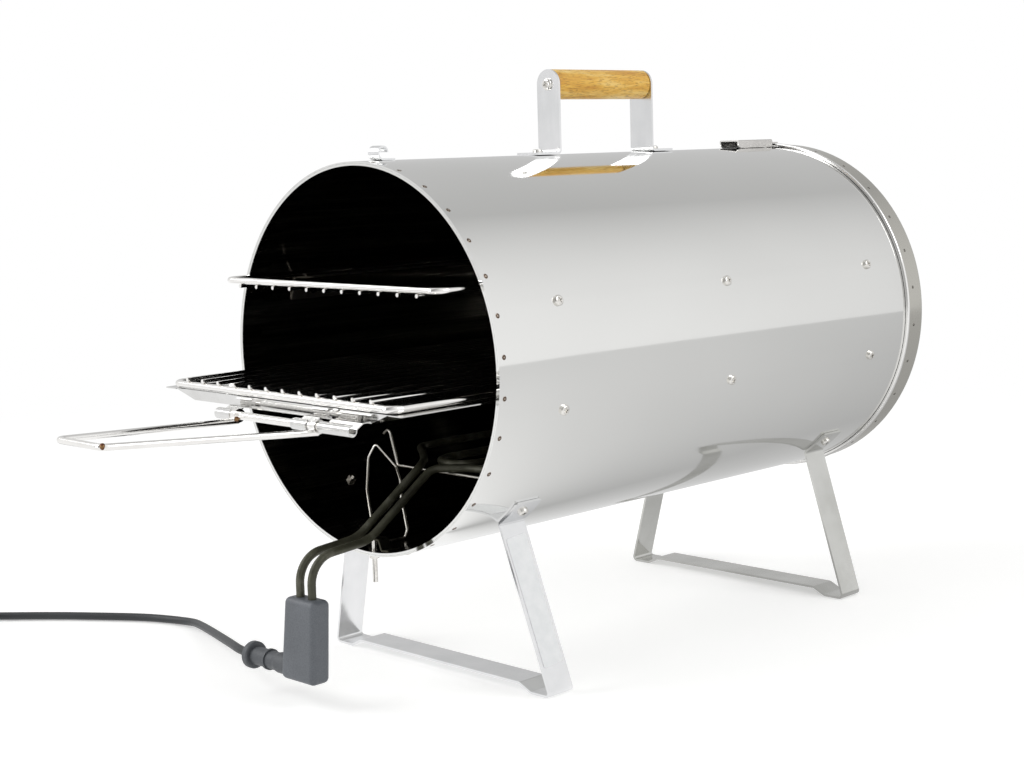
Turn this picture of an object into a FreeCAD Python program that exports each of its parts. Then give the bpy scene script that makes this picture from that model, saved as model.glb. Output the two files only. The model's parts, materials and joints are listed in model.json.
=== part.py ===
# Electric smoker: a steel drum lying on two strip legs, open at the front, with a pull-off
# rear lid, two grill racks, a drip tray with a folding handle, and a tubular heating element.
# Sizes are in millimetres. While the pieces are built, Y runs from the drum's front rim to
# its rear, X is across, Z is up from the floor. The last step moves all of them along Y, so
# that the origin is under the middle of the smoker.
import FreeCAD, Part
import math
import os
import Sketcher
from FreeCAD import Placement, Rotation, Vector

X_AXIS = Vector(1, 0, 0)
Y_AXIS = Vector(0, 1, 0)
Z_AXIS = Vector(0, 0, 1)
ORIGIN = Vector(0, 0, 0)

document = FreeCAD.newDocument("ElectricSmoker")
sheet = document.addObject("Spreadsheet::Sheet", "Size")

# Driving dimensions: alias, value, what it measures
DIMENSIONS = [
    ("drum_diameter", 305.0, "outside diameter of the drum"),
    ("drum_wall", 1.2, "drum sheet thickness"),
    ("drum_length", 545.4, "drum length"),
    ("axis_height", 259.3, "height of the drum's axis above the floor"),
    ("seat_gap", 0.3, "clearance between pieces that slide or turn"),
    ("fit_gap", 0.1, "clearance between fixed pieces that lie together"),
    ("ring_depth", 20.0, "width of the ring that stiffens the mouth"),
    ("ring_wall", 1.8, "thickness of that ring"),
    ("lid_overlap", 25.4, "how far the lid's skirt covers the drum"),
    ("lid_wall", 1.2, "lid sheet thickness"),
    ("lid_corner", 3.0, "outside corner radius of the lid"),
    ("lid_bead", 1.7, "half the width of the rolled front edge of the lid, and its height"),
    ("lid_recess", 3.0, "depth of the pressed step in the lid"),
    ("lid_recess_diameter", 250.0, "diameter of the pressed step"),
    ("strap_width", 22.0, "width of the lid's catch strap"),
    ("strap_length", 52.0, "length of the catch strap's flanges"),
    ("strap_setback", 9.0, "gap from the flanges to the lid's front edge"),
    ("strap_tongue", 14.0, "width of the tongue that fixes the catch strap to the lid"),
    ("strap_lap", 5.0, "how far that tongue laps over the lid's bead"),
    ("strap_height", 7.2, "height of the catch strap's side flanges"),
    ("strap_wall", 1.2, "catch strap sheet thickness"),
    ("strap_nose", 4.5, "rounding of the flanges' lower front corners"),
    ("hook_width", 11.5, "width of a catch hook"),
    ("hook_wall", 1.4, "catch hook sheet thickness"),
    ("front_hook_curl", 11.2, "outside diameter of the front hook's curl"),
    ("rear_hook_curl", 5.6, "outside diameter of the rear hook's curl"),
    ("hook_foot", 7.0, "length of a hook's welded foot"),
    ("front_hook_station", 26.6, "centre of the front hook's curl behind the front rim"),
    ("rear_hook_station", 499.0, "centre of the rear hook's curl behind the front rim"),
    ("rail_length", 440.0, "length of a rack rail"),
    ("rail_start", 50.0, "front end of a rail behind the front rim"),
    ("rail_wall", 1.5, "rail sheet thickness"),
    ("rail_bend", 2.2, "bend radius of a rail at its middle line"),
    ("rail_leg", 9.0, "rail leg beyond the bolt line"),
    ("rail_gap", 0.35, "gap from a rail's flat leg to the curved wall at the bolts"),
    ("rail_rise", 10.87, "rail's flange above its bolts, at the middle line"),
    ("upper_rail_angle", 17.94, "direction of the upper bolts above the drum's middle"),
    ("upper_rail_flange", 23.4, "width of the upper rails' flange"),
    ("lower_rail_angle", -12.85, "direction of the lower bolts below the drum's middle"),
    ("lower_rail_flange", 19.4, "width of the lower rails' flange"),
    ("bolt_start", 69.5, "first rail bolt behind the front rim"),
    ("bolt_pitch", 199.5, "spacing of the rail bolts"),
    ("screw_diameter", 4.0, "thread diameter of the small screws"),
    ("screw_head", 8.4, "head diameter of the small screws"),
    ("screw_head_height", 2.6, "head height of the small screws"),
    ("screw_gap", 0.2, "radial clearance of a screw in its hole"),
    ("screw_end", 1.5, "thread that shows past a nut"),
    ("recess_width", 0.9, "width of the screws' cross recess"),
    ("recess_depth", 1.0, "depth of the cross recess"),
    ("nut_width", 7.0, "width of the nuts across their flats"),
    ("nut_height", 3.2, "height of the nuts"),
    ("handle_rise", 58.2, "wooden grip's axis above the drum's top"),
    ("handle_centre", 276.0, "middle of the carry handle behind the front rim"),
    ("grip_length", 116.0, "length of the wooden grip"),
    ("grip_diameter", 25.0, "diameter of the wooden grip"),
    ("grip_rounding", 2.4, "rounding of the grip's ends"),
    ("handle_strap_width", 25.0, "width of the handle straps"),
    ("handle_strap_wall", 2.0, "thickness of the handle straps"),
    ("handle_strap_bend", 3.0, "bend radius of the handle straps at their middle line"),
    ("handle_foot", 28.0, "length of the straps' feet on the drum"),
    ("handle_bolt_reach", 14.0, "bolt from the outside of a handle strap"),
    ("grip_screw_head", 10.0, "head diameter of the grip's screws"),
    ("grip_screw_length", 22.0, "length of the grip's screws in the wood"),
    ("leg_width", 26.7, "width of the leg strips"),
    ("leg_wall", 2.0, "thickness of the leg strips"),
    ("leg_bend", 3.2, "bend radius of the leg strips at their middle line"),
    ("front_foot_station", 82.0, "middle of the front feet behind the front rim"),
    ("front_leg_station", 70.0, "front leg's bolts behind the front rim"),
    ("rear_foot_station", 469.5, "middle of the rear feet behind the front rim"),
    ("rear_leg_station", 465.8, "rear leg's bolts behind the front rim"),
    ("leg_spread", 127.5, "outer corner of a foot from the middle plane"),
    ("leg_foot", 20.9, "length of the flat foot"),
    ("leg_ramp", 11.8, "length of the ramp from the foot to the cross bar"),
    ("leg_rise", 5.8, "height of the cross bar's underside"),
    ("leg_seat_angle", 35.0, "where a leg meets the drum, from straight down"),
    ("leg_bolt_angle", 41.3, "direction of the leg bolts from straight down"),
    ("leg_tab_angle", 45.6, "end of the leg's tab, from straight down"),
    ("leg_tab_clip", 4.0, "clipped corners of the tab"),
    ("rack_bearing", 11.5, "how far the upper rack lies on each upper rail"),
    ("rack_length", 480.0, "outside length of the upper rack"),
    ("rack_wire", 5.0, "frame wire diameter of the upper rack"),
    ("rack_corner", 9.0, "corner radius of the upper rack at its middle line"),
    ("rack_bar", 3.0, "diameter of the upper rack's thin wires"),
    ("rack_front", -33.5, "upper rack's front edge from the drum's front rim"),
    ("grill_inset", 7.5, "lower rack's side inside the tray's outer edge"),
    ("grill_length", 480.0, "outside length of the lower rack"),
    ("grill_wire", 6.0, "frame wire diameter of the lower rack"),
    ("grill_corner", 8.0, "corner radius of the lower rack at its middle line"),
    ("grill_bar", 3.2, "diameter of the lower rack's thin wires"),
    ("grill_front", -84.5, "lower rack's front edge from the drum's front rim"),
    ("tray_wall", 0.9, "tray sheet thickness"),
    ("tray_bearing", 10.5, "how far the tray lies on each lower rail"),
    ("tray_rim", 13.0, "width of the tray's side rims"),
    ("tray_side_lean", 21.5, "how far the tray's side walls lean inward"),
    ("tray_length", 482.0, "length of the tray"),
    ("tray_depth", 8.2, "depth of the tray"),
    ("tray_front", -83.0, "tray's front edge from the drum's front rim"),
    ("tray_draft", 2.5, "how far the front and rear walls lean"),
    ("pivot_diameter", 6.2, "diameter of the tray handle's pivot bar"),
    ("pivot_length", 138.0, "length of the pivot bar"),
    ("pivot_offset", 11.0, "pivot bar's middle from the middle plane"),
    ("pivot_reach", 90.0, "pivot axis in front of the drum's front rim"),
    ("pivot_drop", 5.1, "pivot axis below the tray's underside"),
    ("knuckle_wall", 0.9, "sheet thickness of the hinge bracket"),
    ("left_knuckle_width", 18.0, "width of the left knuckle"),
    ("left_knuckle_place", -52.0, "middle of the left knuckle"),
    ("middle_knuckle_width", 17.0, "width of the middle knuckle"),
    ("middle_knuckle_place", 39.5, "middle of the middle knuckle"),
    ("right_knuckle_width", 34.0, "width of the right knuckle"),
    ("right_knuckle_place", 79.0, "middle of the right knuckle"),
    ("bracket_width", 157.0, "width of the hinge bracket"),
    ("bracket_offset", 17.5, "hinge bracket's middle from the middle plane"),
    ("bracket_depth", 30.0, "depth of the hinge bracket's plate under the tray"),
    ("handle_wire", 5.0, "wire diameter of the tray handle"),
    ("handle_arm", 47.5, "tray handle's arms from its own middle, at the pivot"),
    ("handle_front_arm", 27.3, "tray handle's arms from its own middle, at the front"),
    ("handle_offset", 10.0, "tray handle's own middle from the middle plane"),
    ("handle_reach", 165.0, "length of the tray handle from its pivot"),
    ("handle_corner", 6.0, "corner radius of the tray handle"),
    ("handle_tilt", 3.5, "rise of the tray handle at rest"),
    ("handle_weld", 1.4, "how deep the handle's wire is welded into the pivot bar"),
    ("eye_diameter", 10.5, "outside diameter of the handle's eyes"),
    ("eye_width", 5.0, "width of the handle's eyes"),
    ("tube_diameter", 6.5, "diameter of the heating tube"),
    ("tube_spacing", 14.0, "spacing of the heating tube's two ends"),
    ("tube_rise", 59.0, "heating tube's height over the drum's floor"),
    ("tube_sill", 10.6, "heating tube's height over the mouth ring's floor, where it comes in"),
    ("tube_knee", 6.1, "heating tube's height over that floor, where it turns down"),
    ("tube_half_width", 80.0, "outer legs of the heating tube from the middle plane"),
    ("tube_inner", 20.0, "inner legs of the heating tube from the middle plane"),
    ("tube_front_bend", 108.0, "middle of the front U-bend behind the front rim"),
    ("tube_rear_bend", 380.0, "middle of the rear U-bends behind the front rim"),
    ("socket_gap", 0.1, "radial clearance of the heating tube in its connector"),
    ("socket_depth", 12.0, "depth of the heating tube in its connector"),
    ("stand_wire", 2.5, "wire diameter of the element's stands"),
    ("stand_station", 75.0, "front stand's cross wire behind the front rim"),
    ("stand_rear_station", 330.0, "rear stand's cross wire behind the front rim"),
    ("stand_apex", 75.5, "top of the front stand's arch from the middle plane"),
    ("stand_rear_apex", 61.0, "top of the rear stand's arch, between two legs of the tube"),
    ("stand_toe", 30.0, "length of the front stand's wire along the drum's floor"),
    ("clamp_width", 10.0, "width of the element's clamp"),
    ("clamp_wall", 1.5, "clamp sheet thickness"),
    ("clamp_station", 7.0, "clamp screw behind the front rim"),
    ("clamp_rise", 10.8, "clamp's top face over the mouth ring's floor"),
    ("clamp_half_width", 11.0, "half of the clamp's flat top"),
    ("clamp_foot", 22.0, "end of a clamp foot from the middle plane"),
    ("clamp_screw_drop", 22.3, "clamp screw's lower end below the drum"),
    ("clamp_screw_head", 6.6, "head diameter of the clamp screw"),
    ("clamp_screw_head_height", 1.9, "head height of the clamp screw"),
    ("connector_width", 35.6, "width of the element's connector at its top"),
    ("connector_base_width", 40.0, "width of the connector at its underside"),
    ("connector_lean", 6.6, "how far the connector's underside is shifted towards the cable"),
    ("connector_depth", 18.0, "depth of the connector"),
    ("connector_height", 65.5, "height of the connector"),
    ("connector_bottom", 19.8, "connector's underside above the floor"),
    ("connector_reach", 62.0, "connector's middle in front of the front rim"),
    ("connector_offset", 0.7, "middle of the connector's top across"),
    ("connector_rounding", 4.6, "edge radius of the connector"),
    ("boot_height", 28.5, "height of the strain relief's axis"),
    ("boot_root", 8.2, "radius of the strain relief at the connector"),
    ("boot_radius", 7.2, "radius of the strain relief's sleeve"),
    ("boot_length", 50.5, "length of the strain relief, with what sits in the connector"),
    ("boot_seam", 26.5, "strain relief's ring from its inner end"),
    ("boot_seat", 2.7, "how deep the strain relief sits in the connector's side"),
    ("boot_seam_radius", 8.4, "radius of that ring"),
    ("collar_radius", 10.8, "radius of the strain relief's end collar"),
    ("collar_width", 6.5, "width of the end collar"),
    ("cable_diameter", 7.0, "diameter of the mains cable"),
    ("coil_radius", 50.0, "largest radius of the coiled cable at its middle line"),
    ("coil_pitch", 9.0, "spacing of the coil's loops"),
    ("coil_lift", 7.6, "spacing of the coil's two layers"),
    ("plug_diameter", 36.0, "diameter of the plug's face"),
    ("plug_length", 34.0, "length of the plug's body"),
    ("plug_sleeve", 22.0, "length of the plug's sleeve"),
    ("plug_height", 18.5, "height of the plug's axis above the floor"),
    ("pin_diameter", 4.8, "diameter of the plug's pins"),
    ("pin_length", 19.0, "length of the plug's pins"),
    ("pin_spacing", 19.0, "spacing of the plug's pins"),
]
for row, (alias, value, note) in enumerate(DIMENSIONS, start=1):
    sheet.set(f"A{row}", note)
    sheet.set(f"B{row}", str(value))
    sheet.setAlias(f"B{row}", alias)
document.recompute()


def size(alias):
    """The value of one driving dimension."""
    return float(sheet.get(alias))


# Values that several pieces share
drum_radius = size("drum_diameter") / 2
inner_radius = drum_radius - size("drum_wall")
axis_height = size("axis_height")
drum_top = axis_height + drum_radius
drum_floor = axis_height - inner_radius
ring_inner = inner_radius - size("fit_gap") - size("ring_wall")
mouth_floor = axis_height - ring_inner
leg_outer = drum_radius + size("fit_gap") + size("leg_wall")
cable_radius = size("cable_diameter") / 2
hole_radius = size("screw_diameter") / 2 + size("screw_gap")
front_leg_station = size("front_leg_station")
rear_leg_station = size("rear_leg_station")
bolt_stations = [size("bolt_start") + number * size("bolt_pitch") for number in range(3)]

nodes = []


# Helpers for the parametric objects
def keep(thing, label):
    """Name a finished sub-part and list it for writing."""
    thing.Label = label
    nodes.append(thing)
    return thing


def new_body(name):
    """An empty body that may hold several solids."""
    body = document.addObject("PartDesign::Body", name)
    body.AllowCompound = True
    return body


def new_sketch(body, name, role, height=0.0, turn=None):
    """A sketch on one of the body's own origin planes."""
    sketch = body.newObject("Sketcher::SketchObject", name)
    plane = [item for item in body.Origin.OriginFeatures if item.Role == role][0]
    sketch.AttachmentSupport = (plane, [""])
    sketch.MapMode = "FlatFace"
    sketch.AttachmentOffset = Placement(Vector(0, 0, height), turn or Rotation())
    return sketch


def bound_outline(sketch, corners):
    """A closed outline of straight lines, each corner bound to the sheet."""
    count = len(corners)
    guesses = []
    for number in range(count):
        angle = 2 * math.pi * number / count
        guesses.append(Vector(50 * math.cos(angle), 50 * math.sin(angle), 0))
    first = sketch.GeometryCount
    for number in range(count):
        sketch.addGeometry(Part.LineSegment(guesses[number], guesses[(number + 1) % count]))
    for number in range(count):
        following = first + (number + 1) % count
        sketch.addConstraint(Sketcher.Constraint("Coincident", first + number, 2, following, 1))
    for number, (across, along) in enumerate(corners):
        for kind, formula, guess in (("DistanceX", across, guesses[number].x),
                                     ("DistanceY", along, guesses[number].y)):
            constraint = Sketcher.Constraint(kind, -1, 1, first + number, 1, guess)
            index = sketch.addConstraint(constraint)
            sketch.setExpression(f"Constraints[{index}]", formula)


def fixed_outline(sketch, edges):
    """A closed outline of lines and arcs that were worked out from the sizes."""
    first = sketch.GeometryCount
    for edge in edges:
        sketch.addGeometry(edge)
    for number in range(len(edges)):
        here = first + number
        following = first + (number + 1) % len(edges)
        # A sketch keeps its arcs anticlockwise, so either end of one may come first
        pairs = [(here_end, next_end) for here_end in (1, 2) for next_end in (1, 2)]
        nearest = min(pairs, key=lambda pair: sketch.getPoint(here, pair[0]).distanceToPoint(
            sketch.getPoint(following, pair[1])))
        sketch.addConstraint(Sketcher.Constraint("Coincident", here, nearest[0],
                                                 following, nearest[1]))
    for number in range(len(edges)):
        sketch.addConstraint(Sketcher.Constraint("Block", first + number))


def pad(body, sketch, length, middle=False, backward=False):
    """Thicken a sketch; the length is bound to the sheet."""
    feature = body.newObject("PartDesign::Pad", sketch.Name + "_pad")
    feature.Profile = sketch
    feature.Midplane = middle
    feature.Reversed = backward
    feature.setExpression("Length", length)
    return feature


def revolve(body, sketch, axis="H_Axis"):
    """Turn a sketch all the way round one of its own axes."""
    feature = body.newObject("PartDesign::Revolution", sketch.Name + "_turned")
    feature.Profile = sketch
    feature.ReferenceAxis = (sketch, [axis])
    feature.Angle = 360
    return feature


def round_edges(body, base, kind, amount, wanted):
    """Fillet or chamfer the edges of a feature that pass the test."""
    document.recompute()
    names = [f"Edge{number}" for number, edge in enumerate(base.Shape.Edges, start=1)
             if wanted(edge)]
    feature = body.newObject("PartDesign::" + kind, base.Name + "_" + kind.lower())
    feature.Base = (base, names)
    feature.setExpression("Radius" if kind == "Fillet" else "Size", amount)
    return feature


def middle_of(edge):
    """The point half way along an edge."""
    return edge.valueAt((edge.FirstParameter + edge.LastParameter) / 2)


def is_straight_along(edge, axis):
    """True for a straight edge that runs along the axis."""
    if edge.Curve.TypeId != "Part::GeomLine":
        return False
    return abs(edge.Curve.Direction.dot(axis)) > 0.999


def bound_cylinder(name, radius, height, placement):
    """A cylinder whose radius and height are bound to the sheet."""
    cylinder = document.addObject("Part::Cylinder", name)
    cylinder.setExpression("Radius", radius)
    cylinder.setExpression("Height", height)
    cylinder.Placement = placement
    return cylinder


def group(name, things):
    """Several solids as one object."""
    compound = document.addObject("Part::Compound", name)
    compound.Links = things
    return compound


def cut_holes(name, base, holes):
    """A piece with its holes taken out."""
    cut = document.addObject("Part::Cut", name)
    cut.Base = base
    cut.Tool = group(name + "_holes", holes)
    return cut


def feature_of(name, shape):
    """A document object that holds a worked-out shape."""
    feature = document.addObject("Part::Feature", name)
    feature.Shape = shape
    return feature


# Helpers for bent strips and wires
def corner_length(before, corner, after, radius):
    """How much of each side a rounded corner uses, and the turn there."""
    turn = (corner - before).getAngle(after - corner)
    return radius * math.tan(turn / 2), turn


def rounded_path(points, radii):
    """Lines and tangent arcs through the points; radii are for the inner points."""
    edges = []
    start = points[0]
    for number in range(1, len(points) - 1):
        before, corner, after = points[number - 1], points[number], points[number + 1]
        radius = radii[number - 1]
        length, turn = corner_length(before, corner, after, radius)
        into = (corner - before).normalize()
        out = (after - corner).normalize()
        arc_start = corner - into * length
        arc_end = corner + out * length
        if start.distanceToPoint(arc_start) > 1e-4:
            edges.append(Part.LineSegment(start, arc_start))
        if turn > 1e-4:
            bisector = (out - into).normalize()
            centre = corner + bisector * (radius / math.cos(turn / 2))
            arc_middle = centre - bisector * radius
            edges.append(Part.Arc(arc_start, arc_middle, arc_end))
        start = arc_end
    if start.distanceToPoint(points[-1]) > 1e-4:
        edges.append(Part.LineSegment(start, points[-1]))
    return edges


def wire_of(edges):
    return Part.Wire([edge.toShape() for edge in edges])


def tube_along(edges, diameter):
    """A solid round tube along a path of lines and arcs."""
    path = wire_of(edges)
    first = path.OrderedEdges[0]
    start = path.OrderedVertexes[0].Point
    direction = first.tangentAt(first.FirstParameter)
    if first.valueAt(first.FirstParameter).distanceToPoint(start) > 1e-6:
        direction = -first.tangentAt(first.LastParameter)
    section = Part.Wire([Part.Circle(start, direction, diameter / 2).toShape()])
    solid = path.makePipeShell([section], True, False)
    return Part.Solid(solid) if solid.ShapeType != "Solid" else solid


def side_of_strip(points, radii, shift):
    """The path's points and radii moved sideways in the XY plane."""
    moved = []
    new_radii = []
    count = len(points)
    for number in range(count):
        here = points[number]
        if number > 0:
            into = (here - points[number - 1]).normalize()
        if number < count - 1:
            out = (points[number + 1] - here).normalize()
        if number == 0:
            into = out
        if number == count - 1:
            out = into
        left_in = Vector(-into.y, into.x, 0)
        left_out = Vector(-out.y, out.x, 0)
        total = left_in + left_out
        moved.append(here + total * (2 * shift / total.dot(total)))
        if 0 < number < count - 1:
            turn_left = into.x * out.y - into.y * out.x > 0
            new_radii.append(radii[number - 1] + (-shift if turn_left else shift))
    return moved, new_radii


def strip_outline(points, radii, thickness):
    """Outline of a bent strip, as lines and arcs in the sketch plane."""
    left_points, left_radii = side_of_strip(points, radii, thickness / 2)
    right_points, right_radii = side_of_strip(points, radii, -thickness / 2)
    left = rounded_path(left_points, left_radii)
    right = rounded_path(right_points[::-1], right_radii[::-1])
    edges = left
    edges.append(Part.LineSegment(left_points[-1], right_points[-1]))
    edges.extend(right)
    edges.append(Part.LineSegment(right_points[0], left_points[0]))
    return edges


# Helpers for places round the drum
def round_drum(angle, radius, station):
    """A place at an angle above the +X direction, whose Z axis points outward."""
    turn = math.radians(angle)
    point = Vector(radius * math.cos(turn), station, axis_height + radius * math.sin(turn))
    return Placement(point, Rotation(Y_AXIS, 90 - angle))


def pan_screw(head_radius, head_height, shank_radius, shank_length):
    """A pan-head screw with a cross recess; its head stands on the XY plane."""
    rim = head_height * 0.45
    crown = head_radius * 0.55
    profile = [
        Part.LineSegment(Vector(0, 0, -shank_length), Vector(shank_radius, 0, -shank_length)),
        Part.LineSegment(Vector(shank_radius, 0, -shank_length), Vector(shank_radius, 0, 0)),
        Part.LineSegment(Vector(shank_radius, 0, 0), Vector(head_radius, 0, 0)),
        Part.LineSegment(Vector(head_radius, 0, 0), Vector(head_radius, 0, rim)),
        Part.Arc(Vector(head_radius, 0, rim),
                 Vector((head_radius + crown) / 2 + 0.35, 0, (rim + head_height) / 2 + 0.35),
                 Vector(crown, 0, head_height)),
        Part.LineSegment(Vector(crown, 0, head_height), Vector(0, 0, head_height)),
        Part.LineSegment(Vector(0, 0, head_height), Vector(0, 0, -shank_length)),
    ]
    solid = Part.Face(wire_of(profile)).revolve(ORIGIN, Z_AXIS, 360)
    width = size("recess_width")
    depth = size("recess_depth")
    reach = head_radius * 0.5
    for turn in (0, 90):
        slot = Part.makeBox(2 * reach, width, depth + 1,
                            Vector(-reach, -width / 2, head_height - depth))
        slot.rotate(ORIGIN, Z_AXIS, turn + 20)
        solid = solid.cut(slot)
    return solid


def hex_nut(width, height, bore):
    """A hexagon nut that stands on the XY plane."""
    corner = width / math.sqrt(3)
    points = [Vector(corner * math.cos(math.radians(60 * number)),
                     corner * math.sin(math.radians(60 * number)), 0) for number in range(7)]
    nut = Part.Face(Part.makePolygon(points)).extrude(Vector(0, 0, height))
    return nut.cut(Part.makeCylinder(bore, height))


def placed(shape, placement):
    copy = shape.copy()
    copy.Placement = placement
    return copy


# Where the radial screws sit: angle above +X and station along the drum
rail_screws = []
for rail_angle in (size("upper_rail_angle"), size("lower_rail_angle")):
    for bolt_station in bolt_stations:
        rail_screws.append((rail_angle, bolt_station))
        rail_screws.append((180 - rail_angle, bolt_station))
leg_screws = []
for leg_station in (front_leg_station, rear_leg_station):
    leg_screws.append((-90 + size("leg_bolt_angle"), leg_station))
    leg_screws.append((-90 - size("leg_bolt_angle"), leg_station))
handle_face_front = size("handle_centre") - size("grip_length") / 2 - size("handle_strap_wall")
handle_face_rear = size("handle_centre") + size("grip_length") / 2 + size("handle_strap_wall")
handle_screws = [(90, handle_face_front - size("handle_bolt_reach")),
                 (90, handle_face_rear + size("handle_bolt_reach"))]
clamp_screws = [(-90, size("clamp_station"))]


def screw_holes(name, places):
    """Cylinders that cut the holes for radial screws."""
    holes = []
    for number, (angle, station) in enumerate(places, start=1):
        place = round_drum(angle, drum_radius - 15, station)
        holes.append(bound_cylinder(f"{name}_{number}", "Size.screw_diameter / 2 + Size.screw_gap",
                                    "30", place))
    return holes


# Drum shell: a rolled tube with holes for its screws
drum_body = new_body("drum_tube")
drum_sketch = new_sketch(drum_body, "drum_profile", "YZ_Plane")
bound_outline(drum_sketch, [
    ("0", "Size.drum_diameter / 2 - Size.drum_wall"),
    ("Size.drum_length", "Size.drum_diameter / 2 - Size.drum_wall"),
    ("Size.drum_length", "Size.drum_diameter / 2"),
    ("0", "Size.drum_diameter / 2"),
])
revolve(drum_body, drum_sketch)
drum_body.Placement = Placement(Vector(0, 0, axis_height), Rotation())
drum_holes = screw_holes("drum_hole", rail_screws + leg_screws + handle_screws + clamp_screws)
keep(cut_holes("drum_shell_cut", drum_body, drum_holes), "drum_shell")

# Ring that doubles the sheet at the mouth
ring_body = new_body("mouth_ring_tube")
ring_sketch = new_sketch(ring_body, "ring_profile", "YZ_Plane")
ring_outer = "Size.drum_diameter / 2 - Size.drum_wall - Size.fit_gap"
bound_outline(ring_sketch, [
    ("0", ring_outer + " - Size.ring_wall"),
    ("Size.ring_depth", ring_outer + " - Size.ring_wall"),
    ("Size.ring_depth", ring_outer),
    ("0", ring_outer),
])
revolve(ring_body, ring_sketch)
ring_body.Placement = Placement(Vector(0, 0, axis_height), Rotation())
keep(cut_holes("mouth_ring_cut", ring_body, screw_holes("ring_hole", clamp_screws)), "mouth_ring")

# Rear lid: a pressed cap with a rolled front edge and one step in its face
lid_body = new_body("rear_lid_body")
lid_sketch = new_sketch(lid_body, "lid_profile", "YZ_Plane")
lid_back = "Size.drum_length + Size.seat_gap"
lid_in = "Size.drum_diameter / 2 + Size.seat_gap"
lid_front = "Size.drum_length - Size.lid_overlap"
bound_outline(lid_sketch, [
    (lid_back + " - Size.lid_recess", "0"),
    (lid_back + " - Size.lid_recess", "Size.lid_recess_diameter / 2"),
    (lid_back, "Size.lid_recess_diameter / 2 + Size.lid_recess"),
    (lid_back, lid_in),
    (lid_front, lid_in),
    (lid_front, lid_in + " + Size.lid_wall + Size.lid_bead"),
    (lid_front + " + Size.lid_bead * 2", lid_in + " + Size.lid_wall + Size.lid_bead"),
    (lid_front + " + Size.lid_bead * 2", lid_in + " + Size.lid_wall"),
    (lid_back + " + Size.lid_wall", lid_in + " + Size.lid_wall"),
    (lid_back + " + Size.lid_wall", "Size.lid_recess_diameter / 2 + Size.lid_recess"),
    (lid_back + " + Size.lid_wall - Size.lid_recess", "Size.lid_recess_diameter / 2"),
    (lid_back + " + Size.lid_wall - Size.lid_recess", "0"),
])
lid_turned = revolve(lid_body, lid_sketch)
lid_rear = size("drum_length") + size("seat_gap") + size("lid_wall")
lid_outer = drum_radius + size("seat_gap") + size("lid_wall")


def is_lid_corner(edge):
    if edge.Curve.TypeId != "Part::GeomCircle":
        return False
    centre = edge.Curve.Center
    return abs(edge.Curve.Radius - lid_outer) < 0.01 and abs(centre.y - lid_rear) < 0.01


def is_bead_edge(edge):
    if edge.Curve.TypeId != "Part::GeomCircle":
        return False
    return abs(edge.Curve.Radius - lid_outer - size("lid_bead")) < 0.01


lid_rounded = round_edges(lid_body, lid_turned, "Fillet", "Size.lid_corner", is_lid_corner)
round_edges(lid_body, lid_rounded, "Fillet", "Size.lid_bead * 0.9", is_bead_edge)
lid_body.Placement = Placement(Vector(0, 0, axis_height), Rotation())
keep(lid_body, "rear_lid")

# Catch strap on the lid: an upturned channel over the hook, and a tongue fixed to the lid
strap_body = new_body("lid_strap_body")
strap_sketch = new_sketch(strap_body, "strap_section", "XZ_Plane")
bound_outline(strap_sketch, [
    ("-Size.strap_width / 2", "0"),
    ("-Size.strap_width / 2 + Size.strap_wall", "0"),
    ("-Size.strap_width / 2 + Size.strap_wall", "Size.strap_height - Size.strap_wall"),
    ("Size.strap_width / 2 - Size.strap_wall", "Size.strap_height - Size.strap_wall"),
    ("Size.strap_width / 2 - Size.strap_wall", "0"),
    ("Size.strap_width / 2", "0"),
    ("Size.strap_width / 2", "Size.strap_height"),
    ("-Size.strap_width / 2", "Size.strap_height"),
])
strap_pad = pad(strap_body, strap_sketch, "Size.strap_length", backward=True)
strap_half = size("strap_width") / 2
strap_length = size("strap_length")
strap_wall = size("strap_wall")


def is_strap_nose(edge):
    point = middle_of(edge)
    return is_straight_along(edge, X_AXIS) and point.y < 0.01 and point.z < 0.01


def is_strap_shoulder(edge):
    point = middle_of(edge)
    outer = abs(abs(point.x) - strap_half) < 0.01
    return is_straight_along(edge, Y_AXIS) and outer and point.z > 1.0


strap_nose = round_edges(strap_body, strap_pad, "Fillet", "Size.strap_nose", is_strap_nose)
round_edges(strap_body, strap_nose, "Fillet", "Size.strap_wall * 1.2", is_strap_shoulder)
tongue_top = size("strap_height") - strap_wall / 2
tongue_seat = lid_outer + size("lid_bead") + size("fit_gap") + strap_wall / 2 - drum_radius
bead_start = strap_length + size("strap_setback")
tongue_points = [
    Vector(strap_length - size("strap_lap"), tongue_top, 0),
    Vector(strap_length + strap_wall, tongue_top, 0),
    Vector(bead_start - strap_wall * 2, tongue_seat, 0),
    Vector(bead_start + size("strap_lap"), tongue_seat, 0),
]
tongue_sketch = new_sketch(strap_body, "strap_tongue", "YZ_Plane")
fixed_outline(tongue_sketch, strip_outline(tongue_points, [strap_wall * 1.5] * 2, strap_wall))
pad(strap_body, tongue_sketch, "Size.strap_tongue", middle=True)
strap_front = size("drum_length") - size("lid_overlap") - bead_start
strap_body.Placement = Placement(Vector(0, strap_front, drum_top), Rotation())
keep(strap_body, "lid_strap")


# Catch hooks welded to the drum's top: a foot and a curl that opens to the rear
def catch_hook(name, curl, station):
    wall = size("hook_wall")
    radius = (curl - wall) / 2
    top = 2 * radius
    points = [
        Vector(radius + size("hook_foot"), 0, 0),
        Vector(-radius, 0, 0),
        Vector(-radius, top, 0),
        Vector(radius * 0.9, top, 0),
        Vector(radius * 0.9, top - radius * 0.9, 0),
    ]
    radii = [radius, radius, radius * 0.88]
    body = new_body(name + "_body")
    sketch = new_sketch(body, name + "_section", "YZ_Plane")
    fixed_outline(sketch, strip_outline(points, radii, wall))
    pad(body, sketch, "Size.hook_width", middle=True)
    seat = axis_height + drum_radius + wall / 2
    body.Placement = Placement(Vector(0, station, seat), Rotation())
    keep(body, name)


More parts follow.
